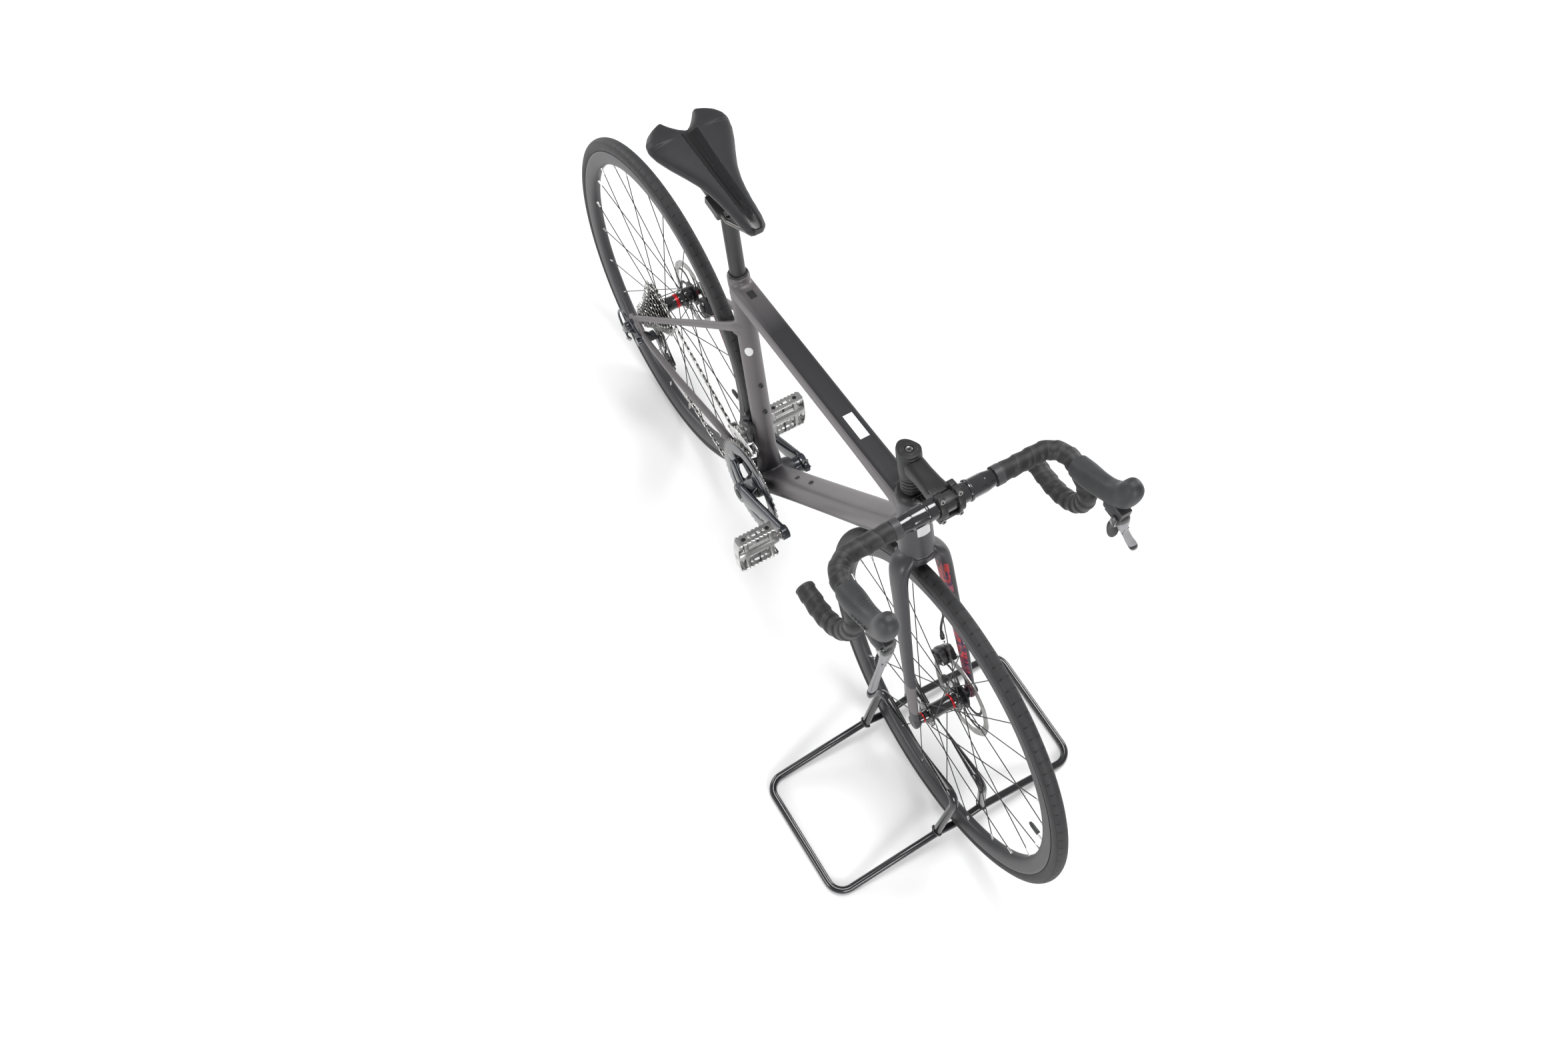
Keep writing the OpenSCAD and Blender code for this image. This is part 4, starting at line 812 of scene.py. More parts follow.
def paint_frame():
    m = frame_paint
    y = coordinate(m, ORIGIN, LEFT)
    z = coordinate(m, ORIGIN, UP)
    # dark panel on top of the top tube
    t = coordinate(m, TOP_SEAT, TOP_DIR)
    h = coordinate(m, TOP_SEAT, TOP_OUT)
    top_end = (TOP_HEAD - TOP_SEAT).length * MM + 0.01
    panel = between(t, 0.034, top_end) * (abs(y) < 0.0185)
    over(m, CHARCOAL, panel * h.step(0.0105, 0.0109) * t.step(0.034, 0.13))
    # dark underside of the down tube
    d = coordinate(m, CRANK, DOWN_DIR)
    g = coordinate(m, CRANK, DOWN_OUT)
    under = between(d, 0.05, (DOWN_HEAD - CRANK).length * MM - 0.03) * (abs(y) < 0.05)
    over(m, (0.05, 0.047, 0.05), under * (g * -1).step(0.006, 0.0064))
    # darker front of the head tube, with a blank badge
    fore = coordinate(m, STEER, STEER_FWD)
    up = coordinate(m, STEER, STEER_UP)
    over(m, (0.052, 0.05, 0.054), fore.step(-0.022, 0.006) * up.step(0.37, 0.38))
    badge = between(up, 0.424, 0.462) * (abs(y) < 0.0115)
    over(m, (0.6, 0.6, 0.62), badge * fore.step(0.015, 0.0152))
    # blank round sticker on the front right of the seat tube
    ahead = Vector((SEAT_UP.z, 0, -SEAT_UP.x))
    spot = CRANK + SEAT_UP * 338
    u = coordinate(m, spot, SEAT_UP)
    v = coordinate(m, spot, (LEFT * -0.82 - ahead * 0.57).normalized())
    out = coordinate(m, spot, (LEFT * -0.57 + ahead * 0.82).normalized())
    sticker = (u * u * 0.6 + v * v).root() < 0.0075
    over(m, (0.7, 0.7, 0.7), sticker * out.step(0.012, 0.0122))
    # darker round the cranks
    reach = distance(coordinate(m, CRANK, AHEAD), coordinate(m, CRANK, UP))
    over(m, (0.022, 0.021, 0.024), (1.0 - reach.step(0.045, 0.16)) * 0.9)
    # streaks on the inner side of the left chainstay
    back = coordinate(m, ORIGIN, -AHEAD)
    low = z < back * 0.2 + 0.27
    inner = normal_along(m, LEFT) * -1
    streaks(m, between(back, 0.15, 0.455) * low, (y > 0.015) * inner.step(-0.15, -0.05))


def paint_fork():
    m = fork_paint
    up = coordinate(m, STEER, STEER_UP)
    y = coordinate(m, ORIGIN, LEFT)
    over(m, TAUPE, (y < -0.03) * between(up, 0.03, 0.095))
    inner = normal_along(m, LEFT) * -1
    streaks(m, (y > 0.02) * (up < 0.33), inner.step(0.25, 0.4))


def fork_shape():
    """The fork's two blades, its crown and the race under the head tube."""
    s = Shape()
    rows = [[0, 8, 364, 27, 15], [2, 24, 362, 25, 13], [4, 36, 350, 23, 12], [7, 41.5, 325, 20.5, 11],
            [13, 44.5, 280, 18.5, 10], [20, 48, 220, 16.5, 9], [28, 51.6, 150, 14.5, 8],
            [36, 54.6, 85, 13, 7], [42, 56.6, 30, 12.2, 6.2], [45, 57, 0, 12, 6]]
    for m in (1, -1):
        s.loft(rows, 5, lambda x, y, z: steer(x, m * y, z), side=LEFT, n=28, power=2.3)
        s.turned([(51, 12), (52.2, 13.1), (62, 13.1), (63, 12)], FRONT_HUB, 36, 0, (0, m, 0))
    s.sweep([steer(-1, y, 361) for y in (-26, -14, 0, 14, 26)], [(25, 13), (27, 13.5), (28, 14), (27, 13.5),
                                                                 (25, 13)], side=STEER_UP, n=28)
    s.turned([(350, 22), (362, 27), (370, 28), (371, 27.6)], STEER, 44, 0, STEER_UP)
    return s


paint_frame()
paint_fork()
frame_shape().piece("frame_visual", "frame", frame_paint, "frame_paint",
                    ("head_tube", "top_tube", "down_tube", "seat_tube", "chainstays", "seatstays"),
                    remesh=1.9, relax=7, sharp=60)
fork_skin = fork_shape()
fork_skin.piece("fork_visual", "fork_assembly", fork_paint, "dark_paint", "fork", remesh=1.7, relax=6,
                sharp=60)
Shape().rod(steer(0, 0, 371), steer(0, 0, 582), 14.25, n=40).piece("fork_steerer", "fork_assembly",
                                                                   steel_dull, "dark_paint")


def frame_details():
    """Blank labels, the cable port, and the seat collar with its bolt."""
    s = Shape()
    length = (TOP_HEAD - TOP_SEAT).length

    def label(origin, a, b, mat, count=9):
        """A thin sheet a long and b wide over the top tube."""
        edge = [LEFT * (b * (j / (count - 1) - 0.5)) + TOP_OUT * 0.5 for j in range(count)]
        verts = [origin + TOP_DIR * x + e for x in (-a / 2, a / 2) for e in edge]
        s.add(verts, [[j, count + j, count + j + 1, j + 1] for j in range(count - 1)], mat)

    label(TOP_SEAT + TOP_DIR * (length * 0.69) + TOP_OUT * 16.9, 52, 17, 0)
    label(TOP_SEAT + TOP_DIR * 40 + TOP_OUT * 17.0, 17, 12, 1)
    s.piece("frame_labels", "frame", [label_white, black_gloss], "frame_paint")
    port = Shape()
    place = CRANK + DOWN_DIR * 52 + LEFT * 27.2
    loop = [(11 * cos(t), 5.5 * sin(t)) for t in turns(24)]
    port.plate(loop, lambda x, z, t: place + DOWN_DIR * x + DOWN_OUT * z + LEFT * t, 1.3, 0,
               [[(x * 0.62, z * 0.55) for x, z in loop]])
    port.piece("cable_port", "frame", label_white, "frame_paint", bevel=0.3)
    collar = Shape()
    at = CRANK + SEAT_UP * 486 + Vector((-SEAT_UP.z, 0, SEAT_UP.x)) * 20.5
    collar.rod(at - LEFT * 9, at + LEFT * 9, 4.2, n=24)
    collar.rod(at + LEFT * 9, at + LEFT * 12, 3.6, n=24, mat=1)
    collar.lathe([(496.5, 13.9), (496.5, 18.0), (499.5, 17.6), (500.6, 16.0), (500.8, 13.9)], CRANK, 40, 2,
                 SEAT_UP)
    collar.piece("seat_collar", "frame", [frame_paint, steel_dull, black_plastic], "frame_paint", bevel=0.3)


frame_details()


# ---------------------------------------------------------------- cockpit


def bar(x, y, z):
    """A point about the middle of the handlebar, square to the ground."""
    return BAR + Vector((x, y, z))


def bar_points():
    """The left half of the bar's line, as in the frame, more finely spaced."""
    half, bend, flare = 198.0, 36.0, radians(5)
    hook_r, drop_r = 44, 84

    def flared(x, z):
        return (bend + x, half - sin(flare) * z, cos(flare) * z)

    pts = [(0, y, 0) for y in (50, 62, 74, 84, 95, 106, 118, 130, 142, 152)]
    pts += [(bend * (1 - cos(radians(a))), half - bend + bend * sin(radians(a)), 0)
            for a in range(0, 90, 6)]
    pts += [flared(hook_r * cos(radians(a)), hook_r * (sin(radians(a)) - 1)) for a in range(90, -1, -6)]
    pts += [flared(hook_r - drop_r + drop_r * cos(radians(a)), drop_r * sin(radians(a)) - hook_r)
            for a in range(-4, -91, -4)]
    pts += [flared(hook_r - drop_r - back, -hook_r - drop_r) for back in (14, 28)]
    return [bar(*p) for p in pts]


def resample(pts, step):
    out = [pts[0].copy()]
    carry = 0.0
    for a, b in zip(pts, pts[1:]):
        length = (b - a).length
        d = step - carry
        while d < length:
            out.append(a + (b - a) * (d / length))
            d += step
        carry = (carry + length) % step
    out.append(pts[-1].copy())
    return out


def handlebar_visual():
    s = Shape()
    s.rod(bar(0, -62, 0), bar(0, 62, 0), 15.9, n=48)
    for m in (1, -1):
        s.lathe([(60, 0.1), (60, 15.9), (70, 14.6), (80, 12.9), (86, 12.4), (90, 0.1)], BAR, 40, 0,
                (0, m, 0), solid=False)
        s.lathe([(34, 15.7), (34, 17.0), (35, 17.6), (38, 17.6), (39, 17.0), (39, 15.7)], BAR, 40, 0,
                (0, m, 0))
        s.rod(bar(0, m * 80, 0), bar(0, m * 100, 0), 12.4, n=32)
    s.piece("handlebar_visual", "fork_assembly", black_gloss, "black_alloy", "handlebar", bevel=0.3)
    tape_starts, step, pitch = 83.9, 2.0, 23.0
    line_pts = resample([p for p in bar_points() if p.y - BAR.y > tape_starts], step)
    tape = Shape()

    def wrap(s_along, t):
        """Radius factor: each wrap thins from its lip to the next, with a fine ripple."""
        phase = (s_along / pitch + t / (2 * pi)) % 1.0
        lip = max(0.0, 1 - phase / 0.05)
        return 0.945 + 0.085 * (1 - phase) * (1 - lip * lip * (3 - 2 * lip)) + 0.014 * sin(2 * pi * phase)

    tape.sweep(line_pts, 15.2, side=(1, 1, 1), n=44, radius=wrap)
    end = line_pts[-1]
    d = (line_pts[-1] - line_pts[-3]).normalized()
    tape.lathe([(-1, 0.1), (-1, 14.2), (0.6, 15.2), (2.6, 15.0), (4, 13), (4.4, 0.1)], end, 36, 1, d,
               solid=False)
    tape.lathe([(-3, 12.2), (-3, 16.0), (9.5, 16.2), (9.5, 12.2)], bar(0, 84.5, 0), 36, 2, LEFT)
    tape.join(tape.flipped())
    crease_tape(len(line_pts) * step / pitch)
    tape.piece("bar_tape_visual", "fork_assembly", [tape_rubber, black_plastic, black_plastic], "bar_tape",
               "bar_tape", sharp=50)


def crease_tape(wraps):
    """Painted shade as a dark crease where each wrap of tape overlaps the one before, and a lighter band
    along each wrap's raised edge.
    """
    m = tape_rubber
    u, v, _ = [Value(m, s) for s in node(m, "SeparateXYZ", {0: node(m, "TexCoord").outputs["UV"]}).outputs]
    phase = (u * wraps + v).fract()
    # lighter band along the raised edge of each wrap
    over(m, (0.045, 0.045, 0.047), phase.step(0.3, 0.05) * 0.45)
    # painted shade: near-black in the crease under the next wrap's edge
    over(m, (0.003, 0.003, 0.003), phase > 0.95)


CLAMP_Y = (-20, 10)
CLAMP_R = 21


def stem_visual():
    """Clamp on the steerer, the stem's body, and the back half of the two bar clamps."""
    s = Shape()
    s.lathe([(541, 14.4), (541, 18.2), (542, 19), (582, 19), (583, 18.2), (583, 14.4)], STEER, 48, 0,
            STEER_UP)
    pts = [steer(x, 0, z) for x, z in ((2, 562), (14, 562), (34, 561), (56, 559), (72, 557.6), (84, 557))]
    s.sweep(pts, [(17, 16), (16.5, 16.5), (14.8, 16), (14.5, 17), (15, 18.5), (16, 19)], side=LEFT, n=40,
            power=3.2)
    s.sweep([steer(-10, 0, 562), steer(-20, 0, 562), steer(-27, 0, 562)], [(18, 9.5), (18, 9), (17, 8)],
            side=LEFT, n=28, power=5)
    for y0 in CLAMP_Y:
        arc = [radians(90 + 180 * k / 16) for k in range(2, 15)]
        loop = [(92.4, 583.3), (81, 583.3), (78, 580)]
        loop += [(92.4 + CLAMP_R * cos(a), BAR_UP + CLAMP_R * sin(a)) for a in arc]
        loop += [(78, 534), (81, 530.7), (92.4, 530.7)]
        s.plate(loop, lambda x, z, t, y0=y0: steer(x, y0 + t, z), 10.0)
    s.piece("stem_visual", "fork_assembly", black_matt, "black_alloy", "stem", bevel=0.7, sharp=42)


def stem_face_visual():
    face = Shape()
    for y0 in CLAMP_Y:
        loop = [(93.6, 583.3), (104, 583.3), (106, 580.5)]
        loop += [(93.6 + CLAMP_R * cos(radians(a)), BAR_UP + CLAMP_R * sin(radians(a)))
                 for a in range(54, -55, -9)]
        loop += [(106, 533.5), (104, 530.7), (93.6, 530.7)]
        loop += [(93.6 + 16.1 * cos(radians(a)), BAR_UP + 16.1 * sin(radians(a)))
                 for a in range(-88, 89, 11)]
        face.plate(loop, lambda x, z, t, y0=y0: steer(x, y0 + t, z), 10.0)
    for z0 in (570, 536):
        loop = [(96, z0), (110, z0 + (2 if z0 < BAR_UP else 0)), (111, z0 + 6), (98, z0 + 8)]
        face.plate(loop, lambda x, z, t: steer(x - (3 if z0 > BAR_UP else 2), -11 + t, z), 22.0)
    face.piece("stem_face_visual", "fork_assembly", black_matt, "black_alloy", "stem_face_plate", bevel=0.6,
               sharp=42)


def top_cap_visual():
    cap = Shape()
    loop = []
    for a in turns(40):
        r = 18.4 + (6.5 * max(0, cos(a - pi)) ** 3)
        loop.append((r * cos(a), r * sin(a) * (1 - 0.12 * max(0, cos(a - pi)))))
    cap.plate(loop, lambda x, y, t: steer(x, y, 583.2 + t), 4.2)
    cap.lathe([(587, 7.6), (587, 13.2), (588.4, 12.6), (588.9, 8.2)], STEER, 40, 0, STEER_UP)
    cap.lathe([(585.5, 0.1), (585.5, 2.4), (588.6, 2.4), (588.6, 4.4), (589.4, 5.2), (587.5, 5.6),
               (585.5, 5.6)], STEER, 24, 1, STEER_UP, solid=False)
    cap.piece("top_cap_visual", "fork_assembly", [black_matt, steel_dull], "black_alloy", "top_cap",
              bevel=0.8, sharp=42)


def headset_cover_visual():
    """Five spacers over a cover with the opening where the cables go in."""
    sp = Shape()
    for i in range(5):
        z = 506 + 7 * i
        sp.lathe([(z + 0.2, 14.4), (z + 0.2, 16.6), (z + 1.0, 17.6), (z + 5.7, 17.6), (z + 6.5, 16.6),
                  (z + 6.7, 14.4)], STEER, 44, 0, STEER_UP)
    rings = []
    for k in range(9):
        t = k / 8
        z = 494.6 + 11.2 * t
        grow = 26.8 - 1.4 * t - 7.4 * max(0, t - 0.55) ** 1.4
        ring = []
        for a in turns(44):
            r = grow + 2.2 * max(0, cos(a)) ** 2 * (1 - t)
            ring.append(steer(r * cos(a), r * sin(a), z))
        rings.append(ring)
    sp.rings(rings)
    lip = [steer(20.4 + 1.2 * cos(a), 12.6 * sin(a), 504.9 + 4.6 * cos(a)) for a in turns(28)]
    sp.sweep(lip, 1.3, n=8, closed=True)
    hole = [steer(20.8 + 1.0 * cos(a), 11.4 * sin(a), 505.4 + 3.4 * cos(a)) for a in turns(28)]
    sp.add(hole, [list(range(28))], 1)
    sp.piece("headset_cover_visual", "fork_assembly", [black_matt, black_plastic], "black_alloy",
             "headset_spacers", bevel=0.35, sharp=42)


def hose(points, r, shape=None, n=12):
    """Adds a round hose along a smooth curve through points, to a new shape unless one is given."""
    return (shape or Shape()).sweep(spline(points, 6), r, n=n)


def cables_visual():
    s = Shape()
    for m in (-1, 1):
        s = hose([steer(*p) for p in ((80, m * 84, 538), (79, m * 60, 536.5), (75, m * 38, 533),
                                      (64, m * 22, 527), (48, m * 13, 520), (32, m * 10, 512),
                                      (25, m * 8.6, 507), (20.5, m * 7.6, 502))], 2.3, shape=s)
        s = hose([steer(*p) for p in ((85, m * 84, 532), (83, m * 60, 530), (78, m * 38, 527),
                                      (66, m * 18, 521), (49, m * 6, 514), (33, m * 4, 507),
                                      (26, m * 3.4, 504), (20.5, m * 3, 500))], 2.0, shape=s)
        clip = steer(81.5, m * 56, 533.5)
        s.block(clip, (9, 5, 12), mat=1)
        s.rod(clip + Vector((0, 0, 3)), bar(-3, m * 56, -14), 1.3, n=8, mat=1)
    s.piece("control_cables_visual", "fork_assembly", [hose_black, black_plastic], "hose_black",
            "control_cables", sharp=50)
    f = hose([steer(*p) for p in ((-24, 50, 80), (-27, 50, 100), (-20, 49, 130), (-9, 48, 170),
                                  (-7, 46, 220), (-6, 43, 262))], 2.45)
    d = (steer(-26, 50, 92) - steer(-24, 50, 80)).normalized()
    f.turned([(-3, 4.2), (6, 4.2), (7, 3.2), (12, 3.2), (13, 2.4)], steer(-24, 50, 80), 18, 1, d)
    f.lathe([(-2, 2.4), (-2, 4.4), (2, 4.0), (3, 2.4)], steer(-6.3, 43.6, 255), 18, 1, STEER_UP)
    f.piece("front_brake_hose_visual", "fork_assembly", [hose_black, black_plastic], "hose_black",
            "front_brake_hose", sharp=50)


HOOD_Y = 198


def at_hood(x, y, z):
    """A point by the left hood: y is outward from the hood's middle."""
    return bar(x, HOOD_Y + y, z)


def hood_visual():
    rows = [[46, 0, 1, 17.6, 17.6], [52, 0, 3, 18.2, 18.2], [70, 0, 9, 19.6, 18.6], [92, 0, 18, 19.6, 16.8],
            [112, 0, 29, 20.0, 15.6], [126, 0, 40, 20.6, 15.4], [136, 0, 53, 19.8, 16],
            [141, 0, 67, 18.6, 16.8], [143, 0, 79, 17.4, 16.2], [143, 0, 88, 14.6, 13.6],
            [143, 0, 94, 10.4, 10], [143, 0, 97.5, 4.5, 4.5]]
    s = Shape()
    s.loft(rows, 6, lambda x, y, z: bar(x, HOOD_Y + 0.035 * (x - 46), z), side=LEFT, n=36, power=2.35)
    s.sweep([bar(118, 200, 16), bar(134, 201, 18), bar(149, 201, 16)], [(15, 14), (17, 14), (12, 12)],
            side=LEFT, n=28, power=2.6)
    for i in range(11):
        t = i / 10
        p = bar(mix(58, 110, t), 199, mix(22.5, 49.5, t) - 1.0)
        s.sweep([p + Vector((-1.2 * abs(k) / 3, 3.3 * k, -0.33 * k * k)) for k in (-3, -2, -1, 0, 1, 2, 3)],
                1.25, n=8)
    for i in range(6):
        p = bar(86 + 7 * i, 199, 14 + 4.0 * i)
        s.rod(p + Vector((-3, 19.0, -3)), p + Vector((3, 19.4, 6)), 1.1, n=8)
    s.join(s.flipped()).piece("lever_hoods_visual", "fork_assembly", hood_rubber, "hood_rubber",
                              "lever_hoods", remesh=0.9, relax=3, sharp=60)


def lever_blade():
    """Brake lever: pivot ears, then a blade that hooks down and outward with a black tip."""
    s = Shape()
    rows = [[150, 0, 20, 4, 6], [151.5, 1, 12, 6.5, 10.5], [153, 2, 2, 7, 10.5], [154.5, 5, -12, 6, 8.6],
            [156.5, 9.5, -25, 4.6, 6.6], [160, 15.5, -40, 4.2, 6.2], [164, 22, -56, 4.4, 6.6],
            [168, 27.5, -68, 5.0, 7.2], [171, 31, -77, 5.0, 6.4], [172.5, 32.5, -82.5, 2.5, 3]]
    steps = 6
    last = (len(rows) - 1) * steps
    s.loft(rows, steps, at_hood, side=(0.1, 1, 0.1), n=24, power=2.6,
           pick=lambda i: 1 if i > last - 10 or i < 10 else 0)
    for y in (-12.8, 9.5):
        loop = circle_loop(0, 0, 5.6, 20)[0:11] + [(-5.6, -14), (5.6, -14)]
        s.plate(loop, lambda x, z, t, y=y: at_hood(147 + x, y + t, 12 + z), 3.3, 1)
    s.rod(at_hood(147, -13.2, 12), at_hood(147, 13.2, 12), 2.3, n=16, mat=2)
    s.sweep([at_hood(147, -11, -3), at_hood(148, 0, -4), at_hood(147, 11, -3)],
            [(4.5, 5), (5, 5.5), (4.5, 5)], side=AHEAD, n=16, power=3, mat=1)
    s.block(at_hood(158.9, 8.5, -22), (3.2, 9, 15), mat=1)
    return s


def shift_paddle():
    s = Shape()
    rows = [[140, -2, -8, 3, 5], [140.5, -3, -16, 3, 8], [142, -1, -26, 2.4, 10],
            [144.5, 1.5, -36, 2.2, 11], [147, 4, -46, 2.3, 9], [148.6, 5.5, -51, 2, 5]]
    s.loft(rows, 5, at_hood, side=LEFT, n=20, power=2.8)
    for i in range(4):
        z = -30 - 4.5 * i
        s.rod(at_hood(141.6 - z * 0.02, -6, z), at_hood(142.6 - z * 0.02, 9, z), 0.7, n=8)
    return s


def paint_lever_tips():
    """The last stretch of each brake lever is black."""
    low = min(v.co.z for v in frame["nodes"]["brake_lever_left"].data.vertices)
    over(lever_grey, (0.012, 0.012, 0.014), coordinate(lever_grey, ORIGIN, UP) < low + 0.016)


def levers_visual():
    for side, name in ((1, "left"), (-1, "right")):
        b = lever_blade()
        p = shift_paddle()
        if side < 0:
            b, p = b.flipped(), p.flipped()
        b.piece("brake_lever_" + name + "_visual", "brake_lever_" + name,
                [lever_grey, black_gloss, steel_dull], "lever_grey", "brake_lever_" + name, bevel=0.3,
                sharp=50)
        p.piece("shift_lever_" + name + "_visual", "shift_lever_" + name, black_plastic, "black_plastic",
                "shift_lever_" + name, sharp=50)


handlebar_visual()
stem_visual()
stem_face_visual()
top_cap_visual()
headset_cover_visual()
cables_visual()
hood_visual()
paint_lever_tips()
levers_visual()


# ---------------------------------------------------------------- brakes


def caliper_visual(name, body, centre, turn, node):
    """Two halves of a brake caliper with bolts, cap and pads. turn is about +Y in degrees."""
    a = radians(turn)
    ex = Vector((cos(a), 0, -sin(a)))
    ez = Vector((sin(a), 0, cos(a)))
    c = Vector(centre)

    def at(x, y, z):
        return c + ex * x + Vector((0, y, 0)) + ez * z

    s = Shape()
    outline = [(-19, -9), (-15, -15), (10, -15), (16, -13), (19, -6), (19, 8), (13, 15), (-9, 15),
               (-16, 13), (-19, 6)]
    for y0, t in ((-11, 9.2), (1.8, 13)):
        s.plate(outline, lambda x, z, q, y0=y0: at(x, y0 + q, z), t)
    s.sweep([at(-14, -2, 11), at(0, -2, 12.5), at(14, -2, 11)], [(4.5, 6), (5.5, 7), (4.5, 6)], side=LEFT,
            n=20, power=3)
    s.turned([(-14.5, 8.8), (-13.5, 9.6), (-10.5, 10)], c, 36, 0, LEFT)
    s.turned([(14, 10.4), (16.3, 9.8), (17, 8.6)], c, 36, 0, LEFT)
    for t in turns(10):
        s.block(at(8.2 * cos(t), 17.0, 8.2 * sin(t)), (1.4, 0.8, 1.4))
    for x, z in ((-13.5, 9), (13.5, -9)):
        s.turned([(14.6, 3.8), (17.6, 3.8), (18.2, 3.2), (18.2, 1.8), (16.6, 1.8)], at(x, 0, z), 20, 1,
                 LEFT)
        s.turned([(11.2, 3.4), (12.8, 3.4)], at(x, 0, z), 20, 1, (0, -1, 0))
    for y in (-1.65, 1.65):
        s.block(at(0, y * 0.72 + (0.6 if y > 0 else -0.6), 1), (22, 0.5, 22), mat=2, axes=(ex, LEFT, ez))
    s.turned([(-1, 3.2), (5, 3.2), (6, 2.4), (9, 2.4)], at(8, 8, 14), 16, 1, ez)
    s.piece(name, body, [black_alloy, silver, steel_dull], "black_alloy", node, bevel=0.7, sharp=42)


caliper_visual("front_caliper_visual", "fork_assembly", steer(-5, 38, 60), -40 - 17, "front_caliper")
caliper_visual("rear_caliper_visual", "frame", (-420, 55, 370), 58, "rear_caliper")
rear_hose = hose([(-393.5, 66, 359.5), (-379, 68, 348), (-356, 62, 336), (-300, 50, 322), (-240, 38, 308),
                  (-180, 29, 299), (-150, 27, 290)], 2.45)
rear_hose.turned([(-4, 4.2), (5, 4.2), (6, 3.2), (11, 3.0)], (-393.5, 66, 359.5), 16, 1, (18, 2, -14))
rear_hose.lathe([(-2, 2.4), (-2, 4.6), (2, 4.2), (3, 2.4)], (-156, 27.2, 292), 16, 1, (30, -2, -9))
rear_hose.piece("rear_brake_hose_visual", "frame", [hose_black, black_plastic], "hose_black",
                "rear_brake_hose", sharp=50)


# ---------------------------------------------------------------- drive train

PITCH = 12.7
ARM_ANGLE = radians(30)
SPIDER_TURN = radians(40)
PEDAL_TILT = radians(-78)


def pitch_radius(teeth):
    return teeth * PITCH / (2 * pi)


def toothed(teeth, r, turn=0.0, worn=0.0):
    """Outline of a sprocket: valleys for the rollers and narrow teeth between them."""
    out = []
    step = 2 * pi / teeth
    for i in range(teeth):
        a = step * i + turn
        cut = worn if i % 5 == 0 else 0.0
        tip = r + 2.2 - cut
        for f, rr in ((-0.5, r - 4.0), (-0.34, r - 3.2), (-0.22, r - 0.6), (-0.1, tip), (0.1, tip),
                      (0.22, r - 0.6), (0.34, r - 3.2)):
            out.append((rr * cos(a + f * step), rr * sin(a + f * step)))
    return out


def cassette_visual():
    s = Shape()
    teeth = [11, 12, 13, 14, 15, 17, 19, 21, 23, 25, 28]
    for i, z in enumerate(teeth):
        y = FIRST_COG_Y + COG_PITCH * i
        r = pitch_radius(z)
        turn = i * 0.21 + (0.02 if i == 9 else 0)
        hole = circle_loop(0, 0, 17.2 if z < 17 else r - 11.5, 40)
        s.plate(toothed(z, r, turn, 0.9), disc_place(REAR_HUB, y - 0.8), 1.6, 0, [hole])
        # painted shade: the black spacers reach out to just under the teeth, a dark sheet for the shade in
        # the gaps between the cogs
        shade_spacer_radius = max(r - 10.5, 20.5 if z > 12 else 17.3)
        s.lathe([(y + 0.8, 17), (y + 0.8, shade_spacer_radius), (y + 2.9, shade_spacer_radius), (y + 2.9, 17)], REAR_HUB, 32, 1)
        if z >= 17:
            for k in range(5):
                a = 2 * pi * k / 5 + i * 0.12
                p = [around(REAR_HUB, rr, a + 0.25 * q, y)
                     for q, rr in ((0, 18), (0.5, mix(18, r - 11, 0.5)), (1, r - 10.5))]
                s.sweep(p, [(4.2, 0.8), (3.0, 0.8), (3.6, 0.8)], side=LEFT, n=8, power=5, mat=0)
    s.lathe([(-60.5, 9), (-60.5, 15.5), (-59.6, 16.4), (-58, 16.4), (-58, 9)], REAR_HUB, 36, 2)
    for a in turns(12):
        s.block(around(REAR_HUB, 11.5, a, -60.0), (2.2, 1.6, 2.2), mat=2)
    s.piece("cassette_visual", "cassette", [cog_steel, black_matt, steel_dull], "steel", "cassette",
            sharp=35)


def turn_points(c, r, a0, a1, n, y):
    return [Vector((c.x + r * cos(radians(a0 + (a1 - a0) * i / n)), y,
                    c.z + r * sin(radians(a0 + (a1 - a0) * i / n)))) for i in range(n + 1)]


def heading(c1, r1, s1, c2, r2, s2):
    """Direction in degrees of the chain run from one wheel to the next. s is -1 where it turns back."""
    dx, dz = c2.x - c1.x, c2.z - c1.z
    return degrees(atan2(dz, dx) + asin((s2 * r2 - s1 * r1) / hypot(dx, dz)))


def below(a, b):
    """The angle a, moved by whole turns to lie within a turn below b."""
    return b - (b - a) % 360


def above(a, b):
    """The angle a, moved by whole turns to lie within a turn above b."""
    return b + (a - b) % 360


def chain_path():
    ring_r, cog_r, jockey_r = pitch_radius(34), pitch_radius(25), pitch_radius(11)
    top = heading(REAR_HUB, cog_r, 1, CRANK, ring_r, 1)
    low = heading(CRANK, ring_r, 1, TENSION, jockey_r, 1)
    cage = heading(TENSION, jockey_r, 1, GUIDE, jockey_r, -1)
    rise = heading(GUIDE, jockey_r, -1, REAR_HUB, cog_r, 1)
    pts = turn_points(CRANK, ring_r, top + 90, below(low + 90, top + 90), 40, -38)
    pts += turn_points(TENSION, jockey_r, low + 90, below(cage + 90, low + 90), 18, CHAIN_Y)
    pts += turn_points(GUIDE, jockey_r, cage - 90, above(rise - 90, cage - 90), 18, CHAIN_Y)
    pts += turn_points(REAR_HUB, cog_r, rise + 90, below(top + 90, rise + 90), 30, CHAIN_Y)
    return pts


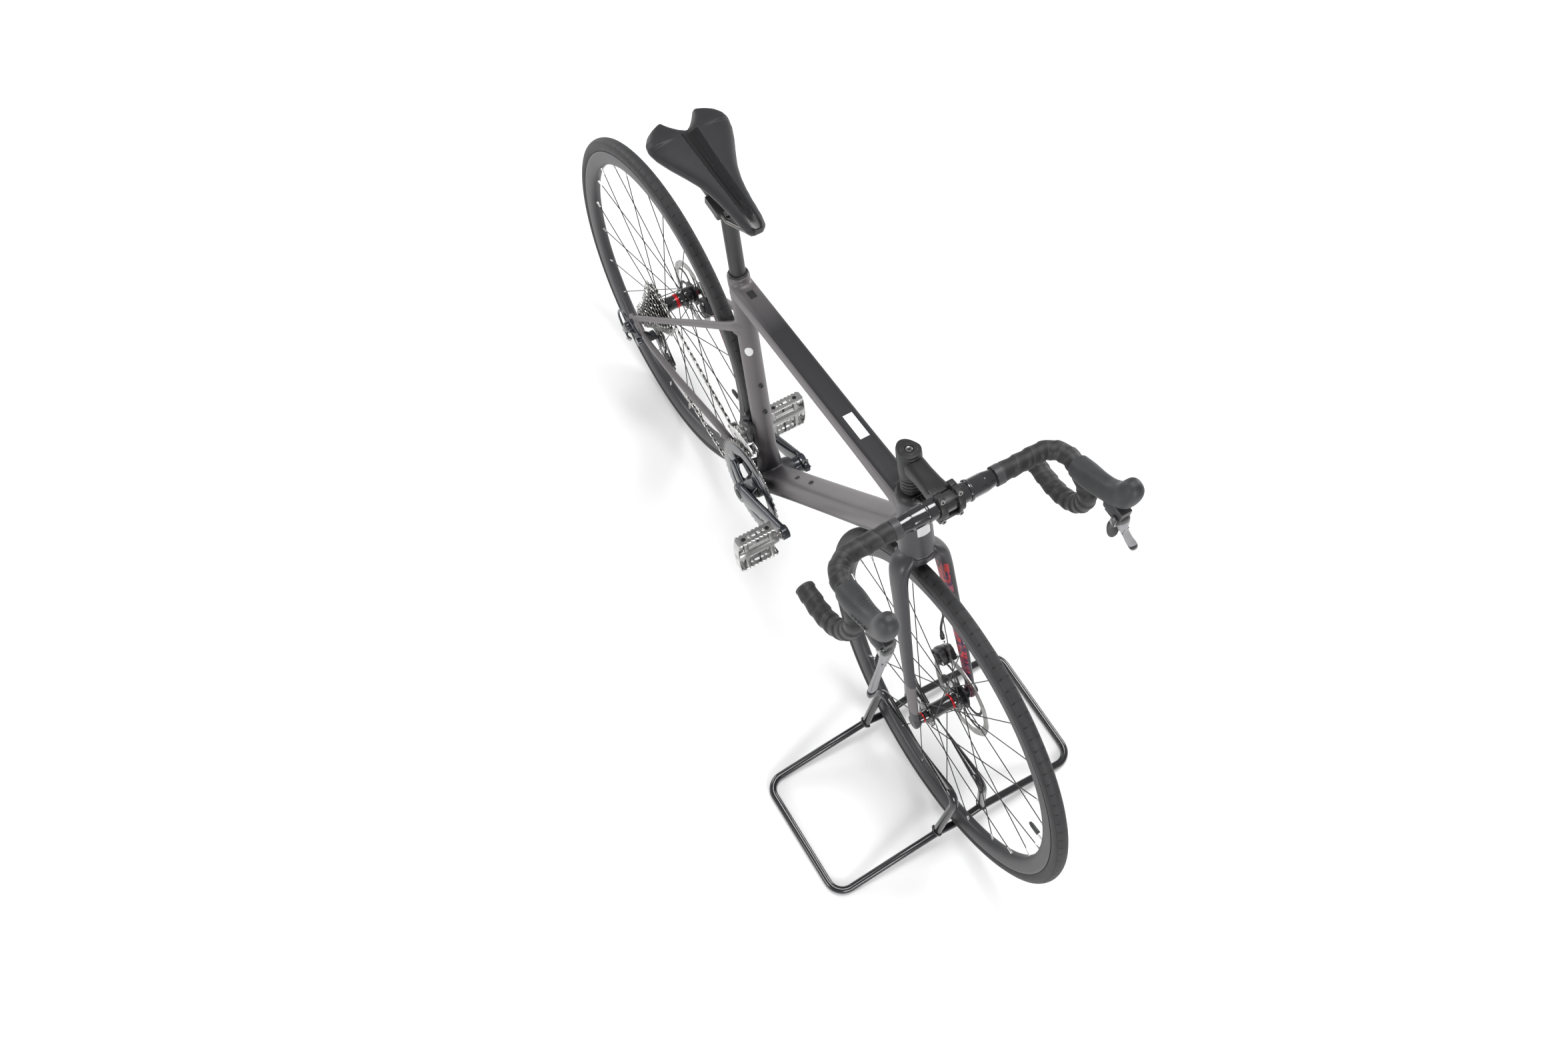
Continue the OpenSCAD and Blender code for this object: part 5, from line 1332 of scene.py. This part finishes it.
def chain_visual():
    pts = chain_path()
    loop = pts + [pts[0]]
    total = sum((b - a).length for a, b in zip(loop, loop[1:]))
    count = 2 * round(total / PITCH / 2)
    pins = resample(loop, total / count)[:count]
    s = Shape()
    n = len(pins)
    for i in range(n):
        a, b = pins[i], pins[(i + 1) % n]
        d = (b - a).normalized()
        w = LEFT - d * d.y
        w.normalize()
        up = d.cross(w)
        outer = i % 2 == 0
        half = (b - a).length / 2
        mid = (a + b) / 2
        outline = []
        for t in turns(24):
            x, z = cos(t), sin(t)
            waist = 3.1 + abs(x) if outer else 3.0 + 0.9 * abs(x)
            outline.append((x * (half + 3.6), z * waist * (1.0 if abs(x) < 0.96 else 0.9)))
        for sgn in (1, -1):
            off = (2.05 if outer else 1.25) * sgn

            def place(x, z, t, mid=mid, d=d, up=up, w=w, off=off):
                return mid + d * x + up * z + w * (off + (t - 0.4))

            s.plate(outline, place, 0.8, 0 if outer else 1)
        s.turned([(-2.9, 1.6), (-2.5, 1.9), (2.5, 1.9), (2.9, 1.6)], a, 10, 2, w)
        s.lathe([(-1.1, 3.0), (-1.1, 3.6), (1.1, 3.6), (1.1, 3.0)], a, 12, 3, w)
    s.piece("chain_visual", "frame", [chain_steel, steel_dull, chain_steel, black_matt], "steel", "chain",
            sharp=35)


def crank_point(along, across, y, turn=0.0):
    """A point in the crank's plane: along the arm, across it, and at that y."""
    a = ARM_ANGLE + turn
    return CRANK + Vector((along * cos(a) - across * sin(a), y, along * sin(a) + across * cos(a)))


def arm_visual(s, y_mid, turn):
    rows = [(-2, 0, 0, 20.5, 7.0), (12, 0, 0, 21, 7.2), (30, 0, 0, 19.5, 7.3), (60, 0, 0, 17.6, 7.2),
            (100, 0, 0, 15.4, 7.0), (140, 0, 0, 14.0, 6.9), (160, 0, 0, 13.4, 6.9), (170, 0, 0, 13.2, 6.9)]
    s.loft(rows, 4, lambda x, z, y: crank_point(x, z, y_mid + y, turn), side=LEFT, n=36, power=3.0)
    end = crank_point(170, 0, 0, turn)
    s.turned([(y_mid - 6.9, 12.4), (y_mid - 6, 13.2), (y_mid + 6, 13.2), (y_mid + 6.9, 12.4)],
             Vector((end.x, 0, end.z)), 40, 0)


def crank_right_visual():
    """Right arm with its boss, the spider's four arms and the axle."""
    s = Shape()
    arm_visual(s, -65.5, 0.0)
    s.lathe([(-72.8, 8), (-72.8, 17.5), (-71, 19.2), (-56, 20.5), (-50, 23.5), (-50, 8)], CRANK, 48, 0)
    s.turned([(-74.2, 8), (-73.4, 10.4), (-72, 10.4)], CRANK, 32, 2)
    for i in range(4):
        turn = SPIDER_TURN + radians(90 * i)
        rows = [[12, 0, -57, 15, 5.0], [26, 0, -56, 14, 5.2], [42, 0, -54, 12.6, 5.0],
                [54, 0, -52.5, 11.6, 4.9], [61, 0, -52.2, 10.4, 4.6]]
        s.loft(rows, 4, lambda x, z, y: crank_point(x, z, y, turn), side=LEFT, n=24, power=3.2)
        c = crank_point(55, 0, 0, turn)
        s.turned([(-58, 4.4), (-57.2, 5.0), (-55.8, 5.2)], Vector((c.x, 0, c.z)), 24, 1)
    s.rod(CRANK + Vector((0, -52, 0)), CRANK + Vector((0, 57, 0)), 11.9, n=36, mat=2)
    end = crank_point(170, 0, 0)
    s.lathe([(-72.7, 3.4), (-72.7, 8.6), (-71.6, 9.2), (-71.6, 3.4)], Vector((end.x, 0, end.z)), 32, 1)
    s.piece("crank_right_visual", "crank", [crank_grey, steel_dull, black_matt], "crank_grey",
            "crank_right", bevel=0.5, sharp=42)


def crank_left_visual():
    left = Shape()
    arm_visual(left, 65.5, pi)
    left.lathe([(46, 12.2), (46, 15.5), (58, 15.8), (60, 18), (71, 18), (72.8, 16.6), (72.8, 8.2)], CRANK,
               48, 0)
    left.turned([(71.2, 10.4), (73.4, 10.4), (74, 8)], CRANK, 32, 2)
    for t in turns(8):
        left.block(around(CRANK, 8.4, t, 73.6), (1.8, 1.4, 1.8), mat=2)
    left.sweep([crank_point(x, 0, 65.5, pi) for x in (-26, -23, -12, 0)],
               [(8, 5), (10, 6.4), (13, 7), (14, 7)], side=LEFT, n=28, power=4)
    along, across = (around(ORIGIN, 1, ARM_ANGLE + t) for t in (pi, 1.5 * pi))
    for z in (-6, 6):
        p = crank_point(-20, z * 0.2, 65.5 + z * 0.62, pi)
        left.turned([(-14.5, 3.3), (-11, 3.3), (-11, 2.4), (10, 2.4)], p, 18, 1, across)
    left.block(crank_point(-21, 0, 65.5, pi), (14, 14.4, 1.0), mat=2, axes=(along, LEFT, across))
    end = crank_point(170, 0, 0, pi)
    left.lathe([(71.6, 3.4), (71.6, 9.2), (72.7, 8.6), (72.7, 3.4)], Vector((end.x, 0, end.z)), 32, 1)
    left.piece("crank_left_visual", "crank", [crank_grey, steel_dull, black_matt], "crank_grey",
               "crank_left", bevel=0.5, sharp=42)


def spider_hole(radius, tab, n):
    """A chainring's inner edge: round, with tabs that reach in to the spider's four arms."""
    loop = []
    for t in turns(n):
        r = radius - tab * max(cos(4 * (t - ARM_ANGLE - SPIDER_TURN)), 0) ** 6
        loop.append((r * cos(t), r * sin(t)))
    return loop


def rings_visual():
    s = Shape()
    s.plate(toothed(50, pitch_radius(50), 0.02), disc_place(CRANK, -46), 2.0, 1, [spider_hole(71, 20.5, 96)])
    s.lathe([(-48.6, 75), (-48.2, 93.5), (-46.2, 95.4), (-45.9, 95.4), (-45.9, 70.6), (-47.8, 71.2),
             (-48.4, 72.4)], CRANK, 120, 0)
    for i in range(4):
        turn = SPIDER_TURN + radians(90 * i)
        rows = [[52, 15, -47.6, 1.8], [62, 16, -47.8, 2.2], [70, 19, -47.9, 2.2], [77, 25, -47.6, 1.6]]
        s.sweep([crank_point(r[0], 0, r[2], turn) for r in rows], [(r[1], r[3]) for r in rows], side=LEFT,
                n=20, power=3)
    for k in range(10):
        a = 2 * pi * k / 10 + 0.2
        s.turned([(-44.0, 1.6), (-43.3, 1.2)], around(CRANK, 90, a), 10, 1)
    s.piece("chainring_large_visual", "crank", [crank_dark, steel_dull], "crank_grey", "chainring_large",
            bevel=0.25, sharp=40)
    t = Shape()
    t.plate(toothed(34, pitch_radius(34), 0.05), disc_place(CRANK, -39), 2.0, 0, [spider_hole(58, 10, 72)])
    for i in range(4):
        c = crank_point(55, 0, 0, SPIDER_TURN + radians(90 * i))
        t.turned([(-57.0, 3.9), (-36.2, 3.9), (-36.0, 5.4), (-35.4, 5.4), (-35.4, 2.4), (-36.8, 2.4)],
                 Vector((c.x, 0, c.z)), 24, 1)
        t.lathe([(-43.8, 4), (-43.8, 6), (-39, 6), (-39, 4)], Vector((c.x, 0, c.z)), 24, 0)
    t.piece("chainring_small_visual", "crank", [black_alloy, steel_dull], "black_alloy", "chainring_small",
            bevel=0.25, sharp=40)


def pedal_visual(at, side, body, node):
    """Cage pedal: cast body with windows, toothed side plates with bolts, and a band at its outer end."""
    ex = around(ORIGIN, 1, PEDAL_TILT)
    ez = Vector((-ex.z, 0, ex.x))
    ey = Vector((0, side, 0))
    c = Vector((at.x, 0, at.z))

    def p(x, y, z):
        return c + ex * x + Vector((0, side * y, 0)) + ez * z

    s = Shape()
    s.lathe([(80, 5.2), (80, 9.6), (82, 11), (92, 11.4), (100, 10.6), (140, 10.6), (148, 11.4), (160, 11),
             (163.6, 9), (163.6, 5.2)], c, 36, 1, ey)
    s.plate([(-15, 88), (15, 88), (15, 152), (-15, 152)], lambda x, y, t: p(x, y, t - 4.2), 8.4, 1)
    s.plate([(-34.5, 117.5), (34.5, 117.5), (34.5, 120.5), (-34.5, 120.5)], lambda x, y, t: p(x, y, t - 3),
            6, 2)
    for ym in (94, 144.5):
        s.sweep([p(x, ym, 0) for x in (-34.5, -24, -10, 0, 10, 24, 34.5)],
                [(9.4, 7), (6.4, 5), (7.5, 5.4), (9.5, 6), (7.5, 5.4), (6.4, 5), (9.4, 7)], side=LEFT, n=20,
                power=3.5, mat=1)
    for sx in (-1, 1):
        edge = []
        for k in range(9):
            y0 = 85.0 + 8.2 * k
            edge += [(y0 + 0.8, 9.6), (y0 + 2.6, 12.2), (y0 + 5.2, 12.2)]
        outline = [(84, 8.6)] + edge + [(161, 8.6), (161, -8.6)] + [(y, -z)
                                                                    for y, z in reversed(edge)] + [(84, -8.6)]
        slot = [(114, -2.6), (128, -2.6), (130.4, 0), (128, 2.6), (114, 2.6), (111.6, 0)]
        holes = [slot] + [circle_loop(y, 0, r, 16) for y, r in ((98, 2.2), (106, 2.2), (136, 2.2),
                                                                (146, 2.2))]
        s.plate(outline, lambda y, z, t, sx=sx: p(sx * (34.2 + t), y, z), 2.6, 0, holes)
        for y in (98, 146):
            s.turned([(0, 2.1), (2.2, 2.1), (2.2, 4.8), (3.6, 4.3), (3.7, 1.9), (2.6, 1.9)],
                     p(sx * 33.6, y, 0), 20, 2, ex * sx)
    band = [p(x, y, 0) for x, y in ((-35, 157), (-30, 161), (-18, 162.6), (0, 162.8), (18, 162.6),
                                    (30, 161), (35, 157))]
    s.sweep(band, [(1.1, 9.0)] * 7, side=tuple(ez), n=16, power=6, mat=0)
    s.turned([(160.5, 6.4), (164.0, 5.6)], c, 24, 1, ey)
    s.piece(body + "_visual", body, [silver, cast_silver, black_alloy], "pedal_silver", node, bevel=0.35,
            sharp=38)


def front_mech_visual():
    s = Shape()
    lower = [[-176, 362], [-170, 353], [-158, 349], [-146, 353], [-136, 363], [-124, 371], [-108, 376],
             [-92, 377.5], [-86, 379], [-87, 386], [-90, 392], [-104, 394], [-120, 393], [-136, 389.5],
             [-150, 383], [-162, 377], [-172, 371]]
    for y0, t in ((-31.4, 1.4), (-42.4, 1.4)):
        holes = [circle_loop(-150, 366, 3.6, 14), circle_loop(-112, 385, 2.8, 14)] if y0 < -40 else []
        s.plate(lower, lambda x, z, q, y0=y0: Vector((x, y0 + q, z)), t, 0, holes)
    rail = [(-150, 384.5), (-136, 390.5), (-120, 394), (-104, 395)]
    for a, b in zip(rail, rail[1:]):
        s.sweep([(a[0], -42.2, a[1]), (b[0], -42.2, b[1])], [(1.2, 1.2), (1.2, 1.2)], n=8)
    s.block((-110, -36.3, 390.5), (12, 12.6, 4.5))
    s.block((-173, -36.3, 361), (3.4, 12.6, 6))
    s.turned([(-43.4, 3), (-42, 3.4), (-30, 3.4)], (-173, 0, 361), 16, 2)
    s.sweep([(-149, -25, 392), (-140, -25, 401), (-128, -25, 409), (-118, -24, 413)],
            [(9, 8.6), (10.5, 9.2), (11, 8.8), (8, 7)], side=LEFT, n=28, power=3, mat=1)
    s.sweep([(-124, -27, 404), (-116, -31, 398), (-111, -34, 392)], [(6, 6), (5.4, 5), (4.6, 4)], side=LEFT,
            n=20, power=3, mat=1)
    s.sweep([(-150, -24, 410), (-146, -20, 416), (-138, -17, 418)], [(6, 6), (6, 6), (5, 6)], side=LEFT,
            n=20, power=3, mat=1)
    for x, z in ((-141, 402), (-127, 411)):
        s.turned([(-35.4, 3.4), (-33.6, 3.8), (-30, 3.8)], (x, 0, z), 18, 2)
    s = hose([(-150, -20, 414), (-160, -16, 404), (-160, -13, 380), (-146, -12, 340), (-128, -11, 300)],
             1.5, s, 10)
    s.piece("front_derailleur_visual", "frame", [silver, black_plastic, steel_dull], "steel",
            "front_derailleur", bevel=0.3, sharp=40)


def rear_mech_visual():
    s = Shape()
    hub = REAR_HUB
    knuckle = hub + Vector((-26, -76, -58))
    low = GUIDE + Vector((-6, -40, 8))
    s.turned([(-90, 7), (-88.6, 9), (-72, 9)], hub + Vector((-12, 0, -28)), 32, 0)
    s.turned([(-91.4, 4.6), (-89.6, 5.4)], hub + Vector((-12, 0, -28)), 24, 1)
    s.sweep([hub + Vector((-4, -75, -10)), hub + Vector((-9, -75.5, -20)), hub + Vector((-12, -76, -30))],
            [(9, 3.2), (8, 3.4), (8, 3.6)], side=LEFT, n=20, power=3, mat=1)
    s.sweep([hub + Vector((-12, -84, -28)), hub + Vector((-19, -82, -42)), knuckle],
            [(9.5, 8), (8.5, 8), (10, 9)], side=LEFT, n=28, power=2.8)
    rows = [[*(knuckle + Vector((0, -2, 2))), 9.6, 8.5], [*knuckle.lerp(low, 0.3), 8.6, 6.5],
            [*knuckle.lerp(low, 0.65), 9, 6.2], [*low, 10, 8.5]]
    s.loft(rows, 5, lambda *p: p, side=LEFT, n=28, power=3.2)
    for p, r in ((knuckle, 4.2), (low, 4.6)):
        s.turned([(-11.5, r - 1), (-10.6, r), (-8, r)], Vector(p), 20, 1, LEFT)
    s.rod(Vector((low.x, -70, low.z)), Vector((low.x, CHAIN_Y - 8, low.z)), 8.6, n=28)
    s.rod(Vector((low.x, CHAIN_Y - 30, low.z)), Vector((low.x, CHAIN_Y - 8, low.z)), 10, n=28, mat=2)
    down = TENSION - GUIDE
    length, thick = hypot(down.x, down.z), 1.5
    ux = Vector((down.x / length, 0, down.z / length))
    uz = Vector((-ux.z, 0, ux.x))
    outline = [(11 * cos(radians(a)), 11 * sin(radians(a))) for a in range(100, 261, 16)]
    outline += [(length * 0.35, -6.4), (length * 0.65, -6.4)]
    outline += [(length + 10.5 * cos(radians(a)), 10.5 * sin(radians(a))) for a in range(-80, 81, 16)]
    outline += [(length * 0.65, 6.0), (length * 0.35, 6.0)]
    window = [(length * 0.3, -3), (length * 0.55, -3), (length * 0.55, 3), (length * 0.3, 3)]
    for y in (CHAIN_Y - 7.5, CHAIN_Y + 6):
        foot = Vector((GUIDE.x, y, GUIDE.z))
        s.plate(outline, lambda x, z, q, foot=foot: foot + ux * x + uz * z + LEFT * q, thick, 0, [window])
        for c in (GUIDE, TENSION):
            s.turned([(-1.3, 3.6), (0.4, 4.2), (thick, 4.2)], Vector((c.x, y, c.z)), 20, 1, LEFT)
    for c in (GUIDE, TENSION):
        s.rod(Vector((c.x, CHAIN_Y - 7, c.z)), Vector((c.x, CHAIN_Y + 7, c.z)), 2.4, n=16, mat=1)
    s = hose([(-446, -80, 330), (-470, -85, 348), (-494, -88, 354), (-514, -89, 342), (-520, -88, 318),
              (-514, -85, 290), (-502, -80.5, 258)], 2.3, s)
    s.turned([(-3, 3.8), (5, 3.8), (7, 2.6)], (-502, -80.5, 257), 16, 1, (0.6, 0.4, -0.3))
    s.piece("rear_derailleur_visual", "frame", [crank_grey, steel_dull, black_plastic], "crank_grey",
            "rear_derailleur", bevel=0.4, sharp=42)


def pulley_visual(c, body, node):
    at = Vector((c.x, 0, c.z))
    s = Shape()
    holes = [circle_loop(12.6 * cos(2 * pi * k / 5), 12.6 * sin(2 * pi * k / 5), 2.7, 12) for k in range(5)]
    s.plate(toothed(11, pitch_radius(11) - 0.6, 0.3),
            lambda x, z, t: at + Vector((x, CHAIN_Y - 1.2 + t, z)), 2.4, 0,
            [circle_loop(0, 0, 7.9, 24)] + holes)
    s.lathe([(CHAIN_Y - 4, 2.6), (CHAIN_Y - 4, 7.2), (CHAIN_Y - 3.2, 8), (CHAIN_Y + 3.2, 8),
             (CHAIN_Y + 4, 7.2), (CHAIN_Y + 4, 2.6)], at, 28, 1)
    s.piece(body + "_visual", body, [black_plastic, steel_dull], "black_plastic", node, bevel=0.2, sharp=40)


cassette_visual()
chain_visual()
crank_right_visual()
crank_left_visual()
rings_visual()
pedal_visual(PEDAL_R, -1, "pedal_right", "pedal_right")
pedal_visual(PEDAL_L, 1, "pedal_left", "pedal_left")
front_mech_visual()
rear_mech_visual()
pulley_visual(GUIDE, "guide_pulley", "guide_pulley")
pulley_visual(TENSION, "tension_pulley", "tension_pulley")


# ---------------------------------------------------------------- saddle


def saddle_half_width(x):
    """Half width of the saddle at a distance ahead of the clamp."""
    table = [(97, 9.0), (94, 14.0), (88, 17.6), (70, 20.5), (45, 22.6), (20, 25.4), (-5, 30.0), (-30, 37.4),
             (-55, 48.4), (-80, 60.5), (-105, 70.4), (-122, 73.2), (-134, 71.5), (-146, 63.0), (-154, 51.0),
             (-159, 38.0)]
    for (x0, w0), (x1, w1) in zip(table, table[1:]):
        if x1 <= x <= x0:
            t = (x0 - x) / (x0 - x1)
            return mix(w0, w1, t * t * (3 - 2 * t) if abs(w0 - w1) < 4 else t)
    return table[0][1] if x > 97 else table[-1][1]


def pad_ring(x, inner, base_z):
    """One cross-section of the padding at x: the whole width, or a lobe beyond inner."""
    w = saddle_half_width(x)
    top = 21.9
    droop = 5.0 * (max(0.0, x - 60) / 37) ** 2 + 5.5 * (max(0.0, -118 - x) / 41) ** 2
    lift = 1.2 * min(1.0, max(0.0, (-x - 40) / 80))
    near = min(1.0, max(0.0, (84 - x) / 50))
    wide = mix(6.5, 13.5, min(1.0, max(0.0, (60 - x) / 170)))
    count = 34
    ring = []
    for k in range(count):
        t = -1 + 2 * k / (count - 1)
        if inner is None:
            y = t * w
            crown = max(0.0, 1 - abs(t) ** 3.2) ** 0.55
        else:
            y = mix(inner, w, (t + 1) / 2)
            crown = max(0.0, 1 - abs(t) ** 3.0) ** 0.5
        dip = 6.0 * near * (1 - smooth(abs(y) / wide)) if inner is None else 0.0
        z = base_z + 2.0 + (top - 3.2 - droop + lift) * (0.3 + 0.7 * crown) - dip
        ring.append(Vector((SADDLE.x + x, y, z)))
    a, b = ring[-1], ring[0]
    ring += [Vector((a.x, a.y - 1.5, base_z + 1.6)), Vector((a.x, a.y - 5, base_z + 1.0)),
             Vector((b.x, b.y + (5 if inner is None else 1), base_z + 1.0)),
             Vector((b.x, b.y + (1.5 if inner is None else 0.5), base_z + 1.6))]
    return ring


def saddle_pad_visual():
    """Padded cover: a relief channel down the middle and two lobes with a notch between them."""
    base_z = SADDLE.z + 15 + 21.5
    s = Shape()
    s.rings([pad_ring(97 - 225 * (k / 56), None, base_z) for k in range(57)])
    lobe = Shape()
    rings = []
    for k in range(15):
        x = -118 - 41 * (k / 14)
        inner = 0.3 if x > -130 else 0.3 + 27 * ((-130 - x) / 29) ** 0.75
        rings.append(pad_ring(x, inner, base_z))
    lobe.rings(rings)
    return s.join(lobe.flipped()).join(lobe)


def paint_saddle():
    """Glossy strip down the middle to the nose, matt lobes, greyer sides and a sewn seam."""
    m = saddle_matt
    y = abs(coordinate(m, SADDLE, LEFT))
    x = coordinate(m, SADDLE, AHEAD)
    z = coordinate(m, Vector((0, 0, SADDLE.z + 45)), UP)
    width = (0.0125 - x * 0.03).most(0.006).least(0.016)
    strip = (width - y).step(0.0, 0.0008) * (x > -0.12)
    over(m, (0.042, 0.042, 0.046), (z * -1).step(0.0, 0.003))
    over(m, (0.008, 0.008, 0.009), strip)
    matt = surface(m).inputs["Roughness"].links[0].from_socket
    gloss = node(m, "Mix", {"A": matt, "B": 0.18, "Factor": strip})
    feed(m, surface(m), {"Roughness": gloss.outputs["Result"]})
    groove(m, abs(y - width) < 0.0005, 0.6, 0.0006)


paint_saddle()
pad = saddle_pad_visual().piece("saddle_pad_visual", "saddle", saddle_matt, "saddle_cover", "saddle_pad",
                                remesh=1.2, relax=8, sharp=80)


def saddle_shell_visual():
    """Thin shell under the padding with stiffening ribs and the rails' sockets."""
    s = Shape()
    z0 = SADDLE.z + 15 + 20.4
    xs = [94 - 246 * (k / 40) for k in range(41)]
    right = [(x, -(saddle_half_width(x) - 3.6)) for x in xs]
    left = [(x, saddle_half_width(x) - 3.6) for x in reversed(xs)]
    outline = right + [(-150, -30), (-143, -16), (-133, -7), (-130, 0), (-133, 7), (-143, 16),
                       (-150, 30)] + left

    def at(x, y, z):
        return Vector((SADDLE.x + x, y, z0 + z))

    s.plate(outline, at, 3.3)
    for y, a, b in ((-34, -120, -40), (-17, -126, 20), (17, -126, 20), (34, -120, -40)):
        s.sweep([at(a, y, 0), at((a + b) / 2, y * 0.86, -0.6), at(b, y * 0.55, 0)], [(1.6, 1.3)] * 3, n=10)
    for m in (-1, 1):
        s.sweep([at(-120, m * 21, -5), at(-108, m * 21, -5), at(-97, m * 21, -3.5)],
                [(4.4, 7.4), (4.2, 7.6), (3.4, 6.4)], side=LEFT, n=20, power=3.5)
    s.sweep([at(58, 0, -1), at(78, 0, -1.2), at(88, 0, -0.5)], [(1.4, 12), (1.6, 13), (1.2, 10)], side=LEFT,
            n=20, power=3)
    s.piece("saddle_shell_visual", "saddle", black_gloss, "black_plastic", "saddle_shell", bevel=0.4,
            sharp=40)


saddle_shell_visual()


# ---------------------------------------------------------------- carried-over CAD pieces


def dress(name, mat):
    """Gives a CAD piece that is shown as it is a procedural finish."""
    ob = frame["nodes"].get(name)
    if ob is None:
        return
    ob.data.materials.clear()
    ob.data.materials.append(mat)


for name, mat, slot in [
        ("front_spokes", spoke_black, "spoke_black"), ("rear_spokes", spoke_black, "spoke_black"),
        ("headset_bearings", steel_dull, "steel"), ("bottom_bracket", black_alloy, "black_alloy"),
        ("stem_bolts", steel_dull, "steel"), ("bottle_bolts", black_alloy, "black_alloy"),
        ("front_axle", black_matt, "black_alloy"), ("rear_axle", black_matt, "black_alloy"),
        ("pedal_axles", steel_dull, "steel"), ("lever_bodies", black_plastic, "black_plastic"),
        ("seatpost", black_matt, "black_alloy"), ("saddle_rails", steel_dull, "steel"),
        ("saddle_clamp", black_matt, "black_alloy")]:
    dress(name, mat)


# ---------------------------------------------------------------- floor, light and camera


def stage_floor():
    me = bpy.data.meshes.new("floor")
    me.from_pydata([(-14, -14, 0), (14, -14, 0), (14, 14, 0), (-14, 14, 0)], [], [(0, 1, 2, 3)])
    m = material("floor_white", (0.86, 0.86, 0.86), 0.6, 0.0, 0.01, 1, 60, 0.02, 0.03)
    me.materials.append(m)
    ob = bpy.data.objects.new("floor", me)
    bpy.context.scene.collection.objects.link(ob)
    ob.location.z = -0.0004


def soft_light(name, at, size, power):
    """A rectangular light aimed at the middle of the bicycle."""
    data = bpy.data.lights.new(name, "AREA")
    data.shape = "RECTANGLE"
    data.size, data.size_y = size
    data.energy = power
    ob = bpy.data.objects.new(name, data)
    ob.location = at
    ob.rotation_euler = (Vector((0, 0, 0.45)) - Vector(at)).to_track_quat("-Z", "Y").to_euler()
    bpy.context.scene.collection.objects.link(ob)


def studio():
    world = bpy.data.worlds.new("studio")
    bpy.context.scene.world = world
    world.use_nodes = True
    bg = world.node_tree.nodes["Background"]
    bg.inputs["Color"].default_value = (1, 1, 1, 1)
    bg.inputs["Strength"].default_value = 0.44
    bpy.context.scene.view_settings.view_transform = "Standard"
    soft_light("top_light", (-0.2, 0.3, 3.6), (1.3, 1.3), 70)
    soft_light("left_light", (-0.4, 3.4, 1.6), (1.2, 0.9), 62)
    soft_light("front_light", (3.2, -0.6, 1.7), (1.1, 0.9), 48)
    soft_light("back_light", (-3.2, -1.0, 1.4), (1.4, 1.2), 45)
    soft_light("right_light", (0.4, -3.4, 1.4), (1.2, 1.0), 40)


def camera():
    yaw, pitch, roll = radians(144.786), radians(62.488), radians(4.669)
    f = Vector((cos(yaw) * cos(pitch), sin(yaw) * cos(pitch), -sin(pitch)))
    r = Vector((sin(yaw), -cos(yaw), 0))
    u = r.cross(f)
    r2 = r * cos(roll) + u * sin(roll)
    u2 = u * cos(roll) - r * sin(roll)
    data = bpy.data.cameras.new("camera")
    data.sensor_width = 36
    data.lens = 36.08
    data.clip_start = 0.05
    ob = bpy.data.objects.new("camera", data)
    m = Matrix((r2, u2, -f)).transposed().to_4x4()
    m.translation = Vector((1.1128, -0.8078, 2.8599))
    ob.matrix_world = m
    bpy.context.scene.collection.objects.link(ob)
    bpy.context.scene.camera = ob


stage_floor()
studio()
camera()
bpy.context.view_layer.update()
